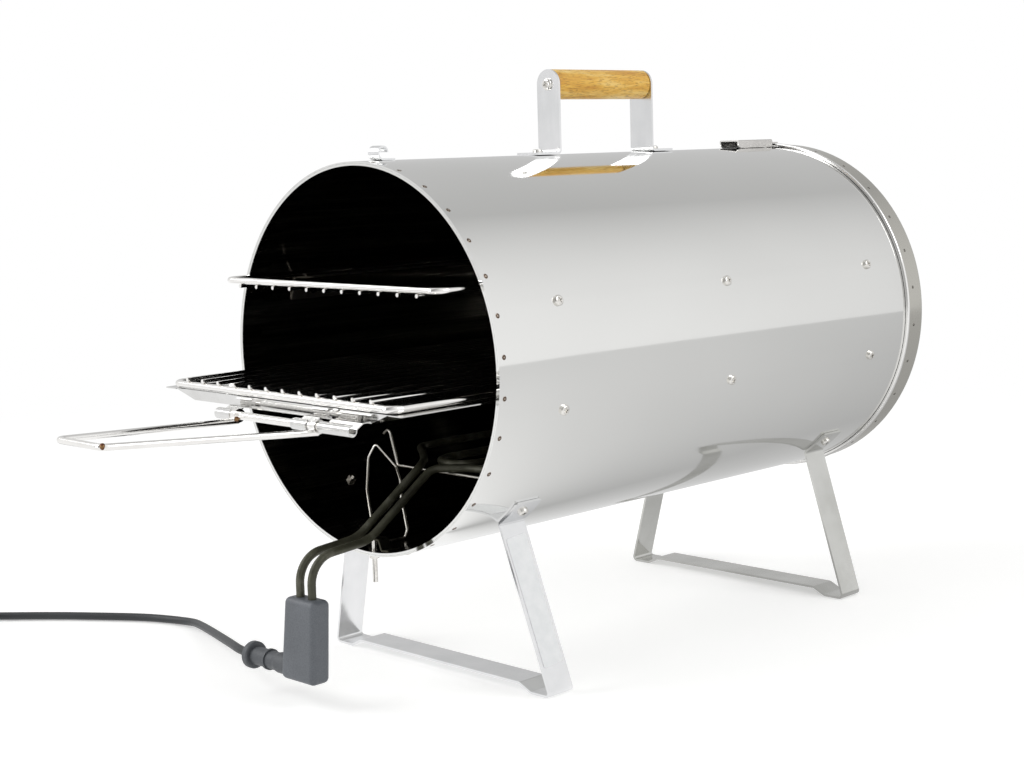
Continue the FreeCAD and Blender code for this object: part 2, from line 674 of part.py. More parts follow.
catch_hook("front_hook", size("front_hook_curl"), size("front_hook_station"))
catch_hook("rear_hook", size("rear_hook_curl"), size("rear_hook_station"))


# Rack rails: angle strips bolted to the drum's wall
rail_seat = inner_radius - size("rail_gap") - size("rail_wall") / 2


def rail_corner(angle):
    """A rail's bend at its middle line, seen from the drum's axis."""
    turn = math.radians(angle)
    rise = size("rail_rise")
    return Vector(rail_seat * math.cos(turn) - rise * math.tan(turn),
                  rail_seat * math.sin(turn) + rise, 0)


def rack_rail(name, angle, flange, side):
    turn = math.radians(angle)
    corner = rail_corner(angle)
    foot = Vector(rail_seat * math.cos(turn) + size("rail_leg") * math.sin(turn),
                  rail_seat * math.sin(turn) - size("rail_leg") * math.cos(turn), 0)
    points = [foot, corner, Vector(corner.x - flange, corner.y, 0)]
    points = [Vector(side * point.x, point.y, 0) for point in points]
    body = new_body(name + "_body")
    sketch = new_sketch(body, name + "_section", "XZ_Plane")
    fixed_outline(sketch, strip_outline(points, [size("rail_bend")], size("rail_wall")))
    pad(body, sketch, "Size.rail_length", backward=True)
    body.Placement = Placement(Vector(0, size("rail_start"), axis_height), Rotation())
    mirrored = angle if side > 0 else 180 - angle
    places = [(mirrored, station) for station in bolt_stations]
    keep(cut_holes(name + "_cut", body, screw_holes(name + "_hole", places)), name)


for side_name, side_sign in (("right", 1), ("left", -1)):
    rack_rail("upper_rail_" + side_name, size("upper_rail_angle"), size("upper_rail_flange"),
              side_sign)
    rack_rail("lower_rail_" + side_name, size("lower_rail_angle"), size("lower_rail_flange"),
              side_sign)
upper_corner = rail_corner(size("upper_rail_angle"))
lower_corner = rail_corner(size("lower_rail_angle"))
upper_shelf = axis_height + upper_corner.y + size("rail_wall") / 2
lower_shelf = axis_height + lower_corner.y + size("rail_wall") / 2


# Radial screws and their nuts
def screw_set(name, places, head_radius, seat_radius, grip):
    """Screws whose heads rest outside; the grip is all the sheet up to the nut."""
    length = grip + size("nut_height") + size("screw_end")
    screw = pan_screw(size(head_radius) / 2, size("screw_head_height"),
                      size("screw_diameter") / 2, length)
    solids = [placed(screw, round_drum(angle, seat_radius, station))
              for angle, station in places]
    keep(feature_of(name + "_set", Part.makeCompound(solids)), name)


def nut_set(name, places, seat_radius):
    """Nuts that press outward against what lies at the seat radius."""
    nut = hex_nut(size("nut_width"), size("nut_height"), hole_radius)
    solids = [placed(nut, round_drum(angle, seat_radius - size("nut_height"), station))
              for angle, station in places]
    keep(feature_of(name + "_set", Part.makeCompound(solids)), name)


rail_inner = inner_radius - size("rail_gap") - size("rail_wall")
screw_set("rail_bolts", rail_screws, "screw_head", drum_radius, drum_radius - rail_inner)
nut_set("rail_nuts", rail_screws, rail_inner)
# A flat nut in the round drum touches it with two of its corners
nut_corner = size("nut_width") / math.sqrt(3)
nut_seat = math.sqrt(inner_radius ** 2 - nut_corner ** 2) - 0.02
screw_set("leg_bolts", leg_screws, "screw_head", leg_outer, leg_outer - nut_seat)
nut_set("leg_nuts", leg_screws, nut_seat)
foot_outer = drum_radius + size("handle_strap_wall")
screw_set("handle_bolts", handle_screws, "screw_head", foot_outer, foot_outer - nut_seat)
nut_set("handle_nuts", handle_screws, nut_seat)


# Carry handle: two bent straps with round tops, and a wooden grip between them
grip_height = drum_top + size("handle_rise")


def handle_strap(name, face, outward):
    wall = size("handle_strap_wall")
    middle = -outward * wall / 2
    foot_end = outward * (size("handle_foot") - wall)
    top = size("handle_rise") + size("handle_strap_width") / 2
    points = [Vector(foot_end, wall / 2, 0), Vector(middle, wall / 2, 0), Vector(middle, top, 0)]
    body = new_body(name + "_body")
    sketch = new_sketch(body, name + "_section", "YZ_Plane")
    fixed_outline(sketch, strip_outline(points, [size("handle_strap_bend")], wall))
    pad(body, sketch, "Size.handle_strap_width", middle=True)
    round_top = new_sketch(body, name + "_round_top", "XZ_Plane")
    half = size("handle_strap_width") / 2
    corners = [Vector(half, top - half, 0), Vector(half + 2, top - half, 0),
               Vector(half + 2, top + 2, 0), Vector(-half - 2, top + 2, 0),
               Vector(-half - 2, top - half, 0), Vector(-half, top - half, 0)]
    outline = [Part.LineSegment(corners[number], corners[number + 1]) for number in range(5)]
    outline.append(Part.Arc(corners[5], Vector(0, top, 0), corners[0]))
    fixed_outline(round_top, outline)
    pocket = body.newObject("PartDesign::Pocket", name + "_rounding")
    pocket.Profile = round_top
    pocket.Type = "ThroughAll"
    pocket.Midplane = True
    body.Placement = Placement(Vector(0, face, drum_top), Rotation())
    grip_hole = bound_cylinder(name + "_grip_hole", "Size.screw_diameter / 2 + Size.screw_gap",
                               "20", Placement(Vector(0, face - 10, grip_height),
                                               Rotation(X_AXIS, -90)))
    place = (90, face + outward * size("handle_bolt_reach"))
    holes = [grip_hole] + screw_holes(name + "_foot_hole", [place])
    keep(cut_holes(name + "_cut", body, holes), name)


handle_strap("handle_strap_front", handle_face_front, -1)
handle_strap("handle_strap_rear", handle_face_rear, 1)

grip_body = new_body("wooden_grip_body")
grip_sketch = new_sketch(grip_body, "grip_profile", "YZ_Plane")
pilot = "Size.screw_diameter / 2 + Size.screw_gap"
pilot_depth = "Size.grip_screw_length + 3"
grip_end = "Size.grip_length / 2"
bound_outline(grip_sketch, [
    (f"-{grip_end}", pilot),
    (f"-{grip_end}", "Size.grip_diameter / 2"),
    (grip_end, "Size.grip_diameter / 2"),
    (grip_end, pilot),
    (f"{grip_end} - ({pilot_depth})", pilot),
    (f"{grip_end} - ({pilot_depth})", "0"),
    (f"-({grip_end}) + {pilot_depth}", "0"),
    (f"-({grip_end}) + {pilot_depth}", pilot),
])
grip_turned = revolve(grip_body, grip_sketch)


def is_grip_rim(edge):
    if edge.Curve.TypeId != "Part::GeomCircle":
        return False
    return abs(edge.Curve.Radius - size("grip_diameter") / 2) < 0.01


round_edges(grip_body, grip_turned, "Fillet", "Size.grip_rounding", is_grip_rim)
grip_body.Placement = Placement(Vector(0, size("handle_centre"), grip_height), Rotation())
keep(grip_body, "wooden_grip")

grip_screw = pan_screw(size("grip_screw_head") / 2, size("screw_head_height"),
                       size("screw_diameter") / 2,
                       size("handle_strap_wall") + size("grip_screw_length"))
grip_screw_solids = [
    placed(grip_screw, Placement(Vector(0, handle_face_front, grip_height),
                                 Rotation(X_AXIS, 90))),
    placed(grip_screw, Placement(Vector(0, handle_face_rear, grip_height),
                                 Rotation(X_AXIS, -90))),
]
keep(feature_of("grip_screw_set", Part.makeCompound(grip_screw_solids)), "grip_screws")


# Legs: one flat strip each, bent from tab to floor, along the floor and up to the other tab
def leg_side():
    """The strip's middle line on the +X side, from the tab's end to the cross bar."""
    wall = size("leg_wall")
    radius = drum_radius + size("fit_gap") + wall / 2
    seat = math.radians(size("leg_seat_angle"))
    tab_end = math.radians(size("leg_tab_angle"))
    tab_start = seat + math.radians(1.6)

    def at(angle, reach):
        return Vector(reach * math.sin(angle), axis_height - reach * math.cos(angle), 0)

    half = (tab_end - tab_start) / 2
    tangent_corner = at(tab_start + half, radius / math.cos(half))
    start = at(tab_start, radius)
    bend = start - Vector(math.cos(tab_start), math.sin(tab_start), 0) * (
        radius * math.tan(tab_start - seat))
    spread = size("leg_spread")
    lean = (Vector(spread, 0, 0) - bend).normalize()
    corner_turn = math.acos(lean.x)
    foot_corner = Vector(spread - wall / 2 * math.tan(corner_turn / 2), wall / 2, 0)
    foot_end = Vector(spread - size("leg_foot"), wall / 2, 0)
    bar_end = Vector(spread - size("leg_foot") - size("leg_ramp"),
                     size("leg_rise") + wall / 2, 0)
    points = [at(tab_end, radius), tangent_corner, bend, foot_corner, foot_end, bar_end]
    radii = [radius, size("leg_bend"), size("leg_bend"), size("leg_bend"), size("leg_bend")]
    return points, radii


def leg_margin(side, lean, tab_top):
    """What is cut off a wide strip, on one side, to leave a leaning strip with clipped tabs."""
    half = size("leg_width") / 2
    clip = size("leg_tab_clip")
    clip_height = clip * math.sin(math.radians(size("leg_tab_angle")))
    beyond = 1.0
    far = side * size("leg_width") * 2
    clip_start = tab_top - clip_height
    top = tab_top + beyond
    inset = half - clip * (top - clip_start) / clip_height
    points = [
        Vector(side * half - lean * beyond, -beyond, 0),
        Vector(side * half + lean * clip_start, clip_start, 0),
        Vector(side * inset + lean * top, top, 0),
        Vector(far, top, 0),
        Vector(far, -beyond, 0),
    ]
    return [Part.LineSegment(point, points[(number + 1) % len(points)])
            for number, point in enumerate(points)]


def leg(name, foot_station, bolt_station):
    """The feet stand level at one station and the bolts sit at another, so the leg leans."""
    points, radii = leg_side()
    mirrored = [Vector(-point.x, point.y, 0) for point in points]
    outline = strip_outline(points + mirrored[::-1], radii + radii[::-1], size("leg_wall"))
    body = new_body(name + "_body")
    sketch = new_sketch(body, name + "_section", "XZ_Plane")
    fixed_outline(sketch, outline)
    pad(body, sketch, "Size.leg_width * 3", middle=True)
    bolt_height = axis_height - leg_outer * math.cos(math.radians(size("leg_bolt_angle")))
    lean = (bolt_station - foot_station) / bolt_height
    tab_top = max(point.y for point in points) + size("leg_wall")
    margins = new_sketch(body, name + "_margins", "YZ_Plane")
    for side in (1, -1):
        fixed_outline(margins, leg_margin(side, lean, tab_top))
    pocket = body.newObject("PartDesign::Pocket", name + "_trim")
    pocket.Profile = margins
    pocket.Type = "ThroughAll"
    pocket.Midplane = True
    body.Placement = Placement(Vector(0, foot_station, 0), Rotation())
    places = [place for place in leg_screws if place[1] == bolt_station]
    keep(cut_holes(name + "_cut", body, screw_holes(name + "_hole", places)), name)


leg("front_leg", size("front_foot_station"), front_leg_station)
leg("rear_leg", size("rear_foot_station"), rear_leg_station)


# Racks: a frame of thick wire and thin wires welded along it
def rack_frame(name, prefix, half, height):
    """A rounded rectangle of round wire; the half width is to its middle line."""
    wire = size(prefix + "_wire")
    front = size(prefix + "_front") + wire / 2
    rear = front + size(prefix + "_length") - wire
    corner = size(prefix + "_corner")
    body = new_body(name + "_body")
    path = new_sketch(body, name + "_path", "XY_Plane")
    points = [Vector(0, front, 0), Vector(half, front, 0), Vector(half, rear, 0),
              Vector(-half, rear, 0), Vector(-half, front, 0), Vector(0, front, 0)]
    fixed_outline(path, rounded_path(points, [corner] * 4))
    section = new_sketch(body, name + "_section", "YZ_Plane")
    number = section.addGeometry(Part.Circle(Vector(front, 0, 0), Z_AXIS, wire / 2))
    section.addConstraint(Sketcher.Constraint("PointOnObject", number, 3, -1))
    index = section.addConstraint(Sketcher.Constraint("DistanceX", -1, 1, number, 3, front))
    section.setExpression(f"Constraints[{index}]", f"Size.{prefix}_front + Size.{prefix}_wire / 2")
    index = section.addConstraint(Sketcher.Constraint("Radius", number, wire / 2))
    section.setExpression(f"Constraints[{index}]", f"Size.{prefix}_wire / 2")
    document.recompute()
    pipe = body.newObject("PartDesign::AdditivePipe", name + "_pipe")
    pipe.Profile = section
    pipe.Spine = path
    pipe.Transition = "Round corner"
    body.Placement = Placement(Vector(0, 0, height), Rotation())
    keep(body, name)


def rack_wires(name, prefix, count, half, height):
    """Thin wires from the front bar to the rear bar, their ends just past both."""
    pitch = 2 * half / (count + 1)
    bar = f"Size.{prefix}_bar / 2"
    length = f"Size.{prefix}_length - Size.{prefix}_wire * 0.2"
    start = size(prefix + "_front") + size(prefix + "_wire") * 0.1
    wires = []
    for number in range(count):
        place = Placement(Vector((number + 1) * pitch - half, start, height),
                          Rotation(X_AXIS, -90))
        wires.append(bound_cylinder(f"{name}_{number + 1}", bar, length, place))
    keep(group(name + "_group", wires), name)


rack_half = (upper_corner.x - size("upper_rail_flange") + size("rack_bearing")
             - size("rack_wire") / 2)
upper_height = upper_shelf + size("seat_gap") + size("rack_wire") / 2
rack_frame("upper_rack_frame", "rack", rack_half, upper_height)
upper_wire_height = upper_height - size("rack_wire") / 2 - size("rack_bar") / 2
rack_wires("upper_rack_wires", "rack", 11, rack_half, upper_wire_height)

tray_half = lower_corner.x - size("lower_rail_flange") + size("tray_bearing")
tray_rim_bottom = lower_shelf + size("seat_gap")
tray_rim_top = tray_rim_bottom + size("tray_wall")
grill_half = tray_half - size("grill_inset") - size("grill_wire") / 2
lower_height = tray_rim_top + size("seat_gap") + size("grill_wire") / 2
rack_frame("lower_rack_frame", "grill", grill_half, lower_height)
lower_wire_height = lower_height + size("grill_wire") / 2 + size("grill_bar") / 2
rack_wires("lower_rack_wires", "grill", 12, grill_half, lower_wire_height)

# Drip tray: a shallow pan with leaning walls and a flat rim that slides on the lower rails
tray_side = ("((Size.drum_diameter / 2 - Size.drum_wall - Size.rail_gap - Size.rail_wall / 2)"
             " * cos(Size.lower_rail_angle) - Size.rail_rise * tan(Size.lower_rail_angle)"
             " - Size.lower_rail_flange + Size.tray_bearing)")
pan_side = f"({tray_side} - Size.tray_rim)"
floor_side = f"({pan_side} - Size.tray_side_lean)"
tray_body = new_body("drip_tray_body")
tray_floor = new_sketch(tray_body, "tray_floor_outline", "XY_Plane")
front_lean = "Size.tray_front + Size.tray_draft"
rear_edge = "Size.tray_front + Size.tray_length"
bound_outline(tray_floor, [
    ("-1 * " + floor_side, front_lean),
    (floor_side, front_lean),
    (floor_side, rear_edge + " - Size.tray_draft"),
    ("-1 * " + floor_side, rear_edge + " - Size.tray_draft"),
])
tray_mouth = new_sketch(tray_body, "tray_mouth_outline", "XY_Plane")
bound_outline(tray_mouth, [
    ("-1 * " + pan_side, "Size.tray_front"),
    (pan_side, "Size.tray_front"),
    (pan_side, rear_edge),
    ("-1 * " + pan_side, rear_edge),
])
tray_mouth.setExpression("AttachmentOffset.Base.z", "Size.tray_depth")
document.recompute()
tray_loft = tray_body.newObject("PartDesign::AdditiveLoft", "tray_block")
tray_loft.Profile = tray_floor
tray_loft.Sections = [tray_mouth]
tray_loft.Ruled = True
document.recompute()
top_face = [f"Face{number}" for number, face in enumerate(tray_loft.Shape.Faces, start=1)
            if face.BoundBox.ZMin > size("tray_depth") - 0.01][0]
tray_shell = tray_body.newObject("PartDesign::Thickness", "tray_shell")
tray_shell.Base = (tray_loft, [top_face])
tray_shell.setExpression("Value", "Size.tray_wall")
tray_shell.Reversed = True
tray_shell.Join = "Intersection"
for side_sign in (1, -1):
    rim = new_sketch(tray_body, "tray_rim_right" if side_sign > 0 else "tray_rim_left",
                     "XY_Plane")
    sign = "" if side_sign > 0 else "-1 * "
    inner = f"{sign}({pan_side} - Size.tray_wall / 2)"
    outer = f"{sign}{tray_side}"
    bound_outline(rim, [(inner, "Size.tray_front"), (outer, "Size.tray_front"),
                        (outer, rear_edge), (inner, rear_edge)])
    rim.setExpression("AttachmentOffset.Base.z", "Size.tray_depth - Size.tray_wall")
    pad(tray_body, rim, "Size.tray_wall")
tray_body.Placement = Placement(Vector(0, 0, tray_rim_top - size("tray_depth")), Rotation())
keep(tray_body, "drip_tray")

# Hinge bracket under the tray: a plate whose front edge is cut into rolled knuckles
tray_underside = tray_rim_top - size("tray_depth")
pivot = Vector(0, -size("pivot_reach"), tray_underside - size("pivot_drop"))
bracket_wall = size("knuckle_wall")
plate_middle = tray_underside - size("fit_gap") - bracket_wall / 2
knuckle_radius = size("pivot_diameter") / 2 + size("seat_gap") + bracket_wall / 2
plate_front = size("tray_front") + size("tray_draft") + bracket_wall
plate_rear = plate_front + size("bracket_depth")
knuckle_points = [
    Vector(plate_rear, plate_middle, 0),
    Vector(plate_front, plate_middle, 0),
    Vector(pivot.y + knuckle_radius, pivot.z + knuckle_radius * 0.2, 0),
    Vector(pivot.y + knuckle_radius, pivot.z - knuckle_radius, 0),
    Vector(pivot.y - knuckle_radius, pivot.z - knuckle_radius, 0),
    Vector(pivot.y - knuckle_radius, pivot.z + knuckle_radius, 0),
    Vector(pivot.y + knuckle_radius * 0.3, pivot.z + knuckle_radius, 0),
]
knuckle_radii = [1.6, 1.6, knuckle_radius * 0.999, knuckle_radius * 0.999,
                 knuckle_radius * 0.999]
bracket_body = new_body("tray_hinge_bracket_body")
bracket_plate = new_sketch(bracket_body, "bracket_plate", "YZ_Plane", size("bracket_offset"))
fixed_outline(bracket_plate, strip_outline(knuckle_points[:2], [], bracket_wall))
pad(bracket_body, bracket_plate, "Size.bracket_width", middle=True)
for knuckle_name in ("left_knuckle", "middle_knuckle", "right_knuckle"):
    knuckle = new_sketch(bracket_body, knuckle_name, "YZ_Plane", size(knuckle_name + "_place"))
    fixed_outline(knuckle, strip_outline(knuckle_points, knuckle_radii, bracket_wall))
    pad(bracket_body, knuckle, f"Size.{knuckle_name}_width", middle=True)
keep(bracket_body, "tray_hinge_bracket")

# Tray handle: a wire loop whose eyes are welded to a bar that turns in the knuckles
bar_middle = size("pivot_offset")
bar = Part.makeCylinder(size("pivot_diameter") / 2, size("pivot_length"),
                        Vector(bar_middle - size("pivot_length") / 2, 0, 0), X_AXIS)
bar = bar.makeFillet(size("pivot_diameter") * 0.2, [edge for edge in bar.Edges
                                                    if edge.Curve.TypeId == "Part::GeomCircle"])
arm = size("handle_arm")
front_arm = size("handle_front_arm")
loop_middle = size("handle_offset")
wire_drop = size("pivot_diameter") / 2 + size("handle_wire") / 2 - size("handle_weld")
reach = size("handle_reach")
loop_points = [
    Vector(loop_middle - arm, 0, -wire_drop),
    Vector(loop_middle - front_arm, -reach, -wire_drop),
    Vector(loop_middle + front_arm, -reach, -wire_drop),
    Vector(loop_middle + arm, 0, -wire_drop),
]
loop = tube_along(rounded_path(loop_points, [size("handle_corner")] * 2), size("handle_wire"))
tray_grip = bar.fuse(loop)
for side_sign in (1, -1):
    eye_middle = loop_middle + side_sign * arm
    eye = Part.makeCylinder(size("eye_diameter") / 2, size("eye_width"),
                            Vector(eye_middle - size("eye_width") / 2, 0, 0), X_AXIS)
    tray_grip = tray_grip.fuse(eye)
tray_grip = tray_grip.removeSplitter()
handle_feature = feature_of("tray_handle_wire", tray_grip)
handle_feature.Placement = Placement(pivot, Rotation(X_AXIS, -size("handle_tilt")))
keep(handle_feature, "tray_handle")

# Heating element: one tube, from one lead up into the drum, back and forth, and out again
lead = size("tube_spacing") / 2
lead_front = -size("connector_reach")
level = drum_floor + size("tube_rise")
sill = mouth_floor + size("tube_sill")
knee = mouth_floor + size("tube_knee")
connector_top = size("connector_bottom") + size("connector_height")
half_width = size("tube_half_width")
inner_leg = size("tube_inner")
front_bend = size("tube_front_bend")
rear_bend = size("tube_rear_bend")
rear_bend_radius = (half_width - inner_leg) / 2
lead_start = connector_top - size("socket_depth") + size("socket_gap")
front_corner = front_bend - inner_leg
rear_corner = rear_bend + rear_bend_radius
tube_points = [
    Vector(-lead, lead_front, lead_start),
    Vector(-lead, lead_front, knee),
    Vector(-lead, -4, sill),
    Vector(-lead, 64, level),
    Vector(-28, 88, level),
    Vector(-54, 110, level),
    Vector(-half_width, 130, level),
    Vector(-half_width, rear_corner, level),
    Vector(-inner_leg, rear_corner, level),
    Vector(-inner_leg, front_corner, level),
    Vector(inner_leg, front_corner, level),
    Vector(inner_leg, rear_corner, level),
    Vector(half_width, rear_corner, level),
    Vector(half_width, 101, level),
    Vector(52, 86, level),
    Vector(30, 82, level),
    Vector(lead, 64, level),
    Vector(lead, -4, sill),
    Vector(lead, lead_front, knee),
    Vector(lead, lead_front, lead_start),
]
tube_radii = [22, 35, 13, 20, 20, 22, rear_bend_radius, rear_bend_radius, inner_leg, inner_leg,
              rear_bend_radius, rear_bend_radius, 14, 20, 12, 13, 35, 22]
tube_solid = tube_along(rounded_path(tube_points, tube_radii), size("tube_diameter"))
keep(feature_of("heating_tube", tube_solid), "heating_element")


# Element stands: an arch of wire on the drum's floor with a cross wire that carries the tube
def floor_rise(across):
    """How far above the drum's floor line a wire's middle lies that rests on the round wall."""
    reach_down = inner_radius - size("stand_wire") / 2 - 0.05
    return inner_radius - math.sqrt(reach_down ** 2 - across ** 2)


def element_stand(name, station, apex, toe, turned):
    wire = size("stand_wire")
    bar = size("tube_rise") - size("tube_diameter") / 2 - wire / 2 - size("fit_gap")
    lean = station - size("stand_station")

    def at(across, along, rise):
        return Vector(across, along + lean, drum_floor + rise)

    arch = [
        at(-14.6, 52, floor_rise(14.6)),
        at(-12.9, 53.5, 8),
        at(-21, 58, 19),
        at(-31, 64, 30),
        at(-36, 68, 44),
        at(-47.6, 73.8, bar - wire * 0.4),
        at(2 - apex, 75, 70),
        at(-2 - apex, 70, 58),
        at(6.3 - apex, 60, 33),
        at(-52.6, 50, floor_rise(52.6)),
    ]
    arch_radii = [3, 6, 6, 5, 8, 3, 6, 12]
    if toe:
        arch.insert(0, at(-14.6, 52 - toe, floor_rise(14.6)))
        arch_radii.insert(0, 2.5)
    wall_reach = math.sqrt((inner_radius - wire) ** 2 - (inner_radius - bar) ** 2)
    bar_points = [
        at(-62.3, 75, bar + 25),
        at(-55.8, 75, bar + 30),
        at(-46.2, 75, bar),
        at(wall_reach, 75, bar),
    ]
    solids = [tube_along(rounded_path(arch, arch_radii), wire),
              tube_along(rounded_path(bar_points, [3, 3]), wire)]
    shape = Part.makeCompound(solids)
    if turned:
        shape.rotate(Vector(0, station, 0), Z_AXIS, 180)
    keep(feature_of(name + "_wires", shape), name)


element_stand("element_stand_front", size("stand_station"), size("stand_apex"),
              size("stand_toe"), False)
element_stand("element_stand_rear", size("stand_rear_station"), size("stand_rear_apex"),
              0, True)

# Clamp that holds the heating tube at the mouth, with its long screw and nut
clamp_wall = size("clamp_wall")
clamp_foot = size("clamp_foot")
clamp_top = mouth_floor + size("clamp_rise")
clamp_plate = clamp_top - clamp_wall / 2
clamp_base = axis_height - math.sqrt(ring_inner ** 2 - clamp_foot ** 2) + clamp_wall / 2 + 0.2
clamp_side = size("clamp_half_width")
clamp_points = [
    Vector(-clamp_foot, clamp_base, 0),
    Vector(-clamp_side - 3, clamp_base - 0.7, 0),
    Vector(-clamp_side, clamp_plate, 0),
    Vector(clamp_side, clamp_plate, 0),
    Vector(clamp_side + 3, clamp_base - 0.7, 0),
    Vector(clamp_foot, clamp_base, 0),
]
clamp_body = new_body("element_clamp_body")
clamp_sketch = new_sketch(clamp_body, "clamp_section", "XZ_Plane")
fixed_outline(clamp_sketch, strip_outline(clamp_points, [1.8] * 4, clamp_wall))
pad(clamp_body, clamp_sketch, "Size.clamp_width", middle=True)
clamp_body.Placement = Placement(Vector(0, size("clamp_station"), 0), Rotation())
clamp_hole = bound_cylinder("clamp_hole", "Size.screw_diameter / 2 + Size.screw_gap", "12",
                            Placement(Vector(0, size("clamp_station"), clamp_top - 8),
                                      Rotation()))
keep(cut_holes("element_clamp_cut", clamp_body, [clamp_hole]), "element_clamp")
drum_underside = axis_height - drum_radius
clamp_screw = pan_screw(size("clamp_screw_head") / 2, size("clamp_screw_head_height"),
                        size("screw_diameter") / 2,
                        clamp_top - drum_underside + size("clamp_screw_drop"))
clamp_screw.translate(Vector(0, size("clamp_station"), clamp_top))
keep(feature_of("clamp_screw_solid", clamp_screw), "clamp_screw")
clamp_nut = hex_nut(size("nut_width"), size("nut_height"), hole_radius)
clamp_nut.translate(Vector(0, size("clamp_station"), drum_underside - size("nut_height")))
keep(feature_of("clamp_nut_solid", clamp_nut), "clamp_nut")

# Connector: a moulded block that the heating tube's ends go into
connector_body = new_body("element_connector_body")
connector_sketch = new_sketch(connector_body, "connector_outline", "XZ_Plane")
bound_outline(connector_sketch, [
    ("-Size.connector_lean - Size.connector_base_width / 2", "0"),
    ("-Size.connector_lean + Size.connector_base_width / 2", "0"),
    ("Size.connector_width / 2", "Size.connector_height"),
    ("-Size.connector_width / 2", "Size.connector_height"),
])
connector_pad = pad(connector_body, connector_sketch, "Size.connector_depth", middle=True)
round_edges(connector_body, connector_pad, "Fillet", "Size.connector_rounding",
            lambda edge: True)
connector_place = Vector(size("connector_offset"), -size("connector_reach"),
                         size("connector_bottom"))
connector_body.Placement = Placement(connector_place, Rotation())
socket_holes = []
for number, side_sign in enumerate((1, -1)):
    place = Vector(side_sign * lead, lead_front, connector_top - size("socket_depth"))
    socket_holes.append(bound_cylinder(f"socket_{number + 1}",
                                       "Size.tube_diameter / 2 + Size.socket_gap",
                                       "Size.socket_depth + 5", Placement(place, Rotation())))
keep(cut_holes("element_connector_cut", connector_body, socket_holes), "element_connector")

# Strain relief: a stepped rubber sleeve with an end collar
boot_body = new_body("strain_relief_body")
boot_sketch = new_sketch(boot_body, "boot_profile", "XZ_Plane")
seam = "Size.boot_seam"
bound_outline(boot_sketch, [
    ("0", "0"),
    ("0", "Size.boot_root"),
    (f"-({seam} - 14)", "Size.boot_root"),
    (f"-({seam} - 10)", "Size.boot_radius"),
    (f"-({seam} - 1.2)", "Size.boot_radius"),
    (f"-({seam} - 1.2)", "Size.boot_seam_radius"),
    (f"-({seam} + 1.2)", "Size.boot_seam_radius"),
    (f"-({seam} + 1.2)", "Size.boot_radius"),
    ("-(Size.boot_length - Size.collar_width)", "Size.boot_radius"),
    ("-(Size.boot_length - Size.collar_width)", "Size.collar_radius"),
    ("-Size.boot_length", "Size.collar_radius"),
    ("-Size.boot_length", "0"),
])
boot_turned = revolve(boot_body, boot_sketch)


def is_collar_rim(edge):
    if edge.Curve.TypeId != "Part::GeomCircle":
        return False
    return abs(edge.Curve.Radius - size("collar_radius")) < 0.01


round_edges(boot_body, boot_turned, "Fillet", "Size.collar_width * 0.25", is_collar_rim)
boot_share = (size("boot_height") - size("connector_bottom")) / size("connector_height")
boot_half = (size("connector_base_width") * (1 - boot_share)
             + size("connector_width") * boot_share) / 2
boot_start = (size("connector_offset") - size("connector_lean") * (1 - boot_share) - boot_half
              + size("boot_seat"))
boot_body.Placement = Placement(Vector(boot_start, lead_front, size("boot_height")), Rotation())
keep(cut_holes("strain_relief_cut", boot_body, [connector_body]), "strain_relief")

# Mains cable from the strain relief to the coil, by points along its middle line
cable_start = Vector(boot_start - size("boot_length"), lead_front, size("boot_height"))
lay = cable_radius
cable_heading = Vector(-0.791, -0.612, 0).normalize()
coil_entry = Vector(-468, -113, lay)
coil_lead = size("cable_diameter")
cable_points = [
    cable_start,
    cable_start + Vector(-14, 0, 0),
    Vector(-117, -49.3, 26),
    Vector(-250, 11.6, 7.2),
    Vector(-270, 15.4, 4.6),
    Vector(-291, 12.6, lay),
    Vector(-318, 1.5, lay),
    Vector(-351, -21, lay),
    Vector(-388, -47.5, lay),
    coil_entry - cable_heading * (coil_lead + 38),
    coil_entry - cable_heading * coil_lead,
]


def cord_radii(points):
    """The largest arcs that the runs on both sides of each point leave room for."""
    radii = []
    for number in range(1, len(points) - 1):
        before, corner, after = points[number - 1], points[number], points[number + 1]
        turn = (corner - before).getAngle(after - corner)
        shorter = min(before.distanceToPoint(corner), corner.distanceToPoint(after))
        radii.append(0.45 * shorter / math.tan(turn / 2))
    return radii


def cord_tube(name, points):
    """A round cable along its points; its volume is compared with section times length."""
    radii = cord_radii(points)
    edges = rounded_path(points, radii)
    solid = tube_along(edges, size("cable_diameter"))
    length = wire_of(edges).Length
    expected = math.pi * cable_radius ** 2 * length
    print(name, "length", round(length, 1), "volume ratio", round(solid.Volume / expected, 4))
    print(name, "radii", [round(radius, 1) for radius in radii])
    keep(feature_of(name + "_tube", solid), name)
    return length


free_length = cord_tube("cable_free", cable_points)

# Coil of the rest of the cable: half turns that spiral in, climb one layer and spiral out
side_way = Vector(-cable_heading.y, cable_heading.x, 0)
coil_centre = coil_entry + side_way * size("coil_radius")
half_turns_in = 5
half_turns_out = 4
step = size("coil_pitch") / 2
radii_in = [size("coil_radius") - number * step for number in range(half_turns_in + 1)]
radii_out = [radii_in[-1] + number * step for number in range(half_turns_out + 1)]
coil_points = []
for number, radius in enumerate(radii_in + radii_out):
    layer = 0 if number <= half_turns_in else 1
    away = -1 if number % 2 == 0 else 1
    coil_points.append(coil_centre + side_way * (away * radius)
                       + Z_AXIS * (layer * size("coil_lift")))


def half_turn(start, end, heading):
    """Two quarter arcs from start to end, where the cable comes back the other way."""
    depth = start.distanceToPoint(end) / 2
    centre = (start + end) / 2
    top = centre + heading * depth
    to_start = (start - centre).normalize()
    to_end = (end - centre).normalize()
    first = centre + (to_start + heading).normalize() * depth
    second = centre + (to_end + heading).normalize() * depth
    return [Part.Arc(start, first, top), Part.Arc(top, second, end)]


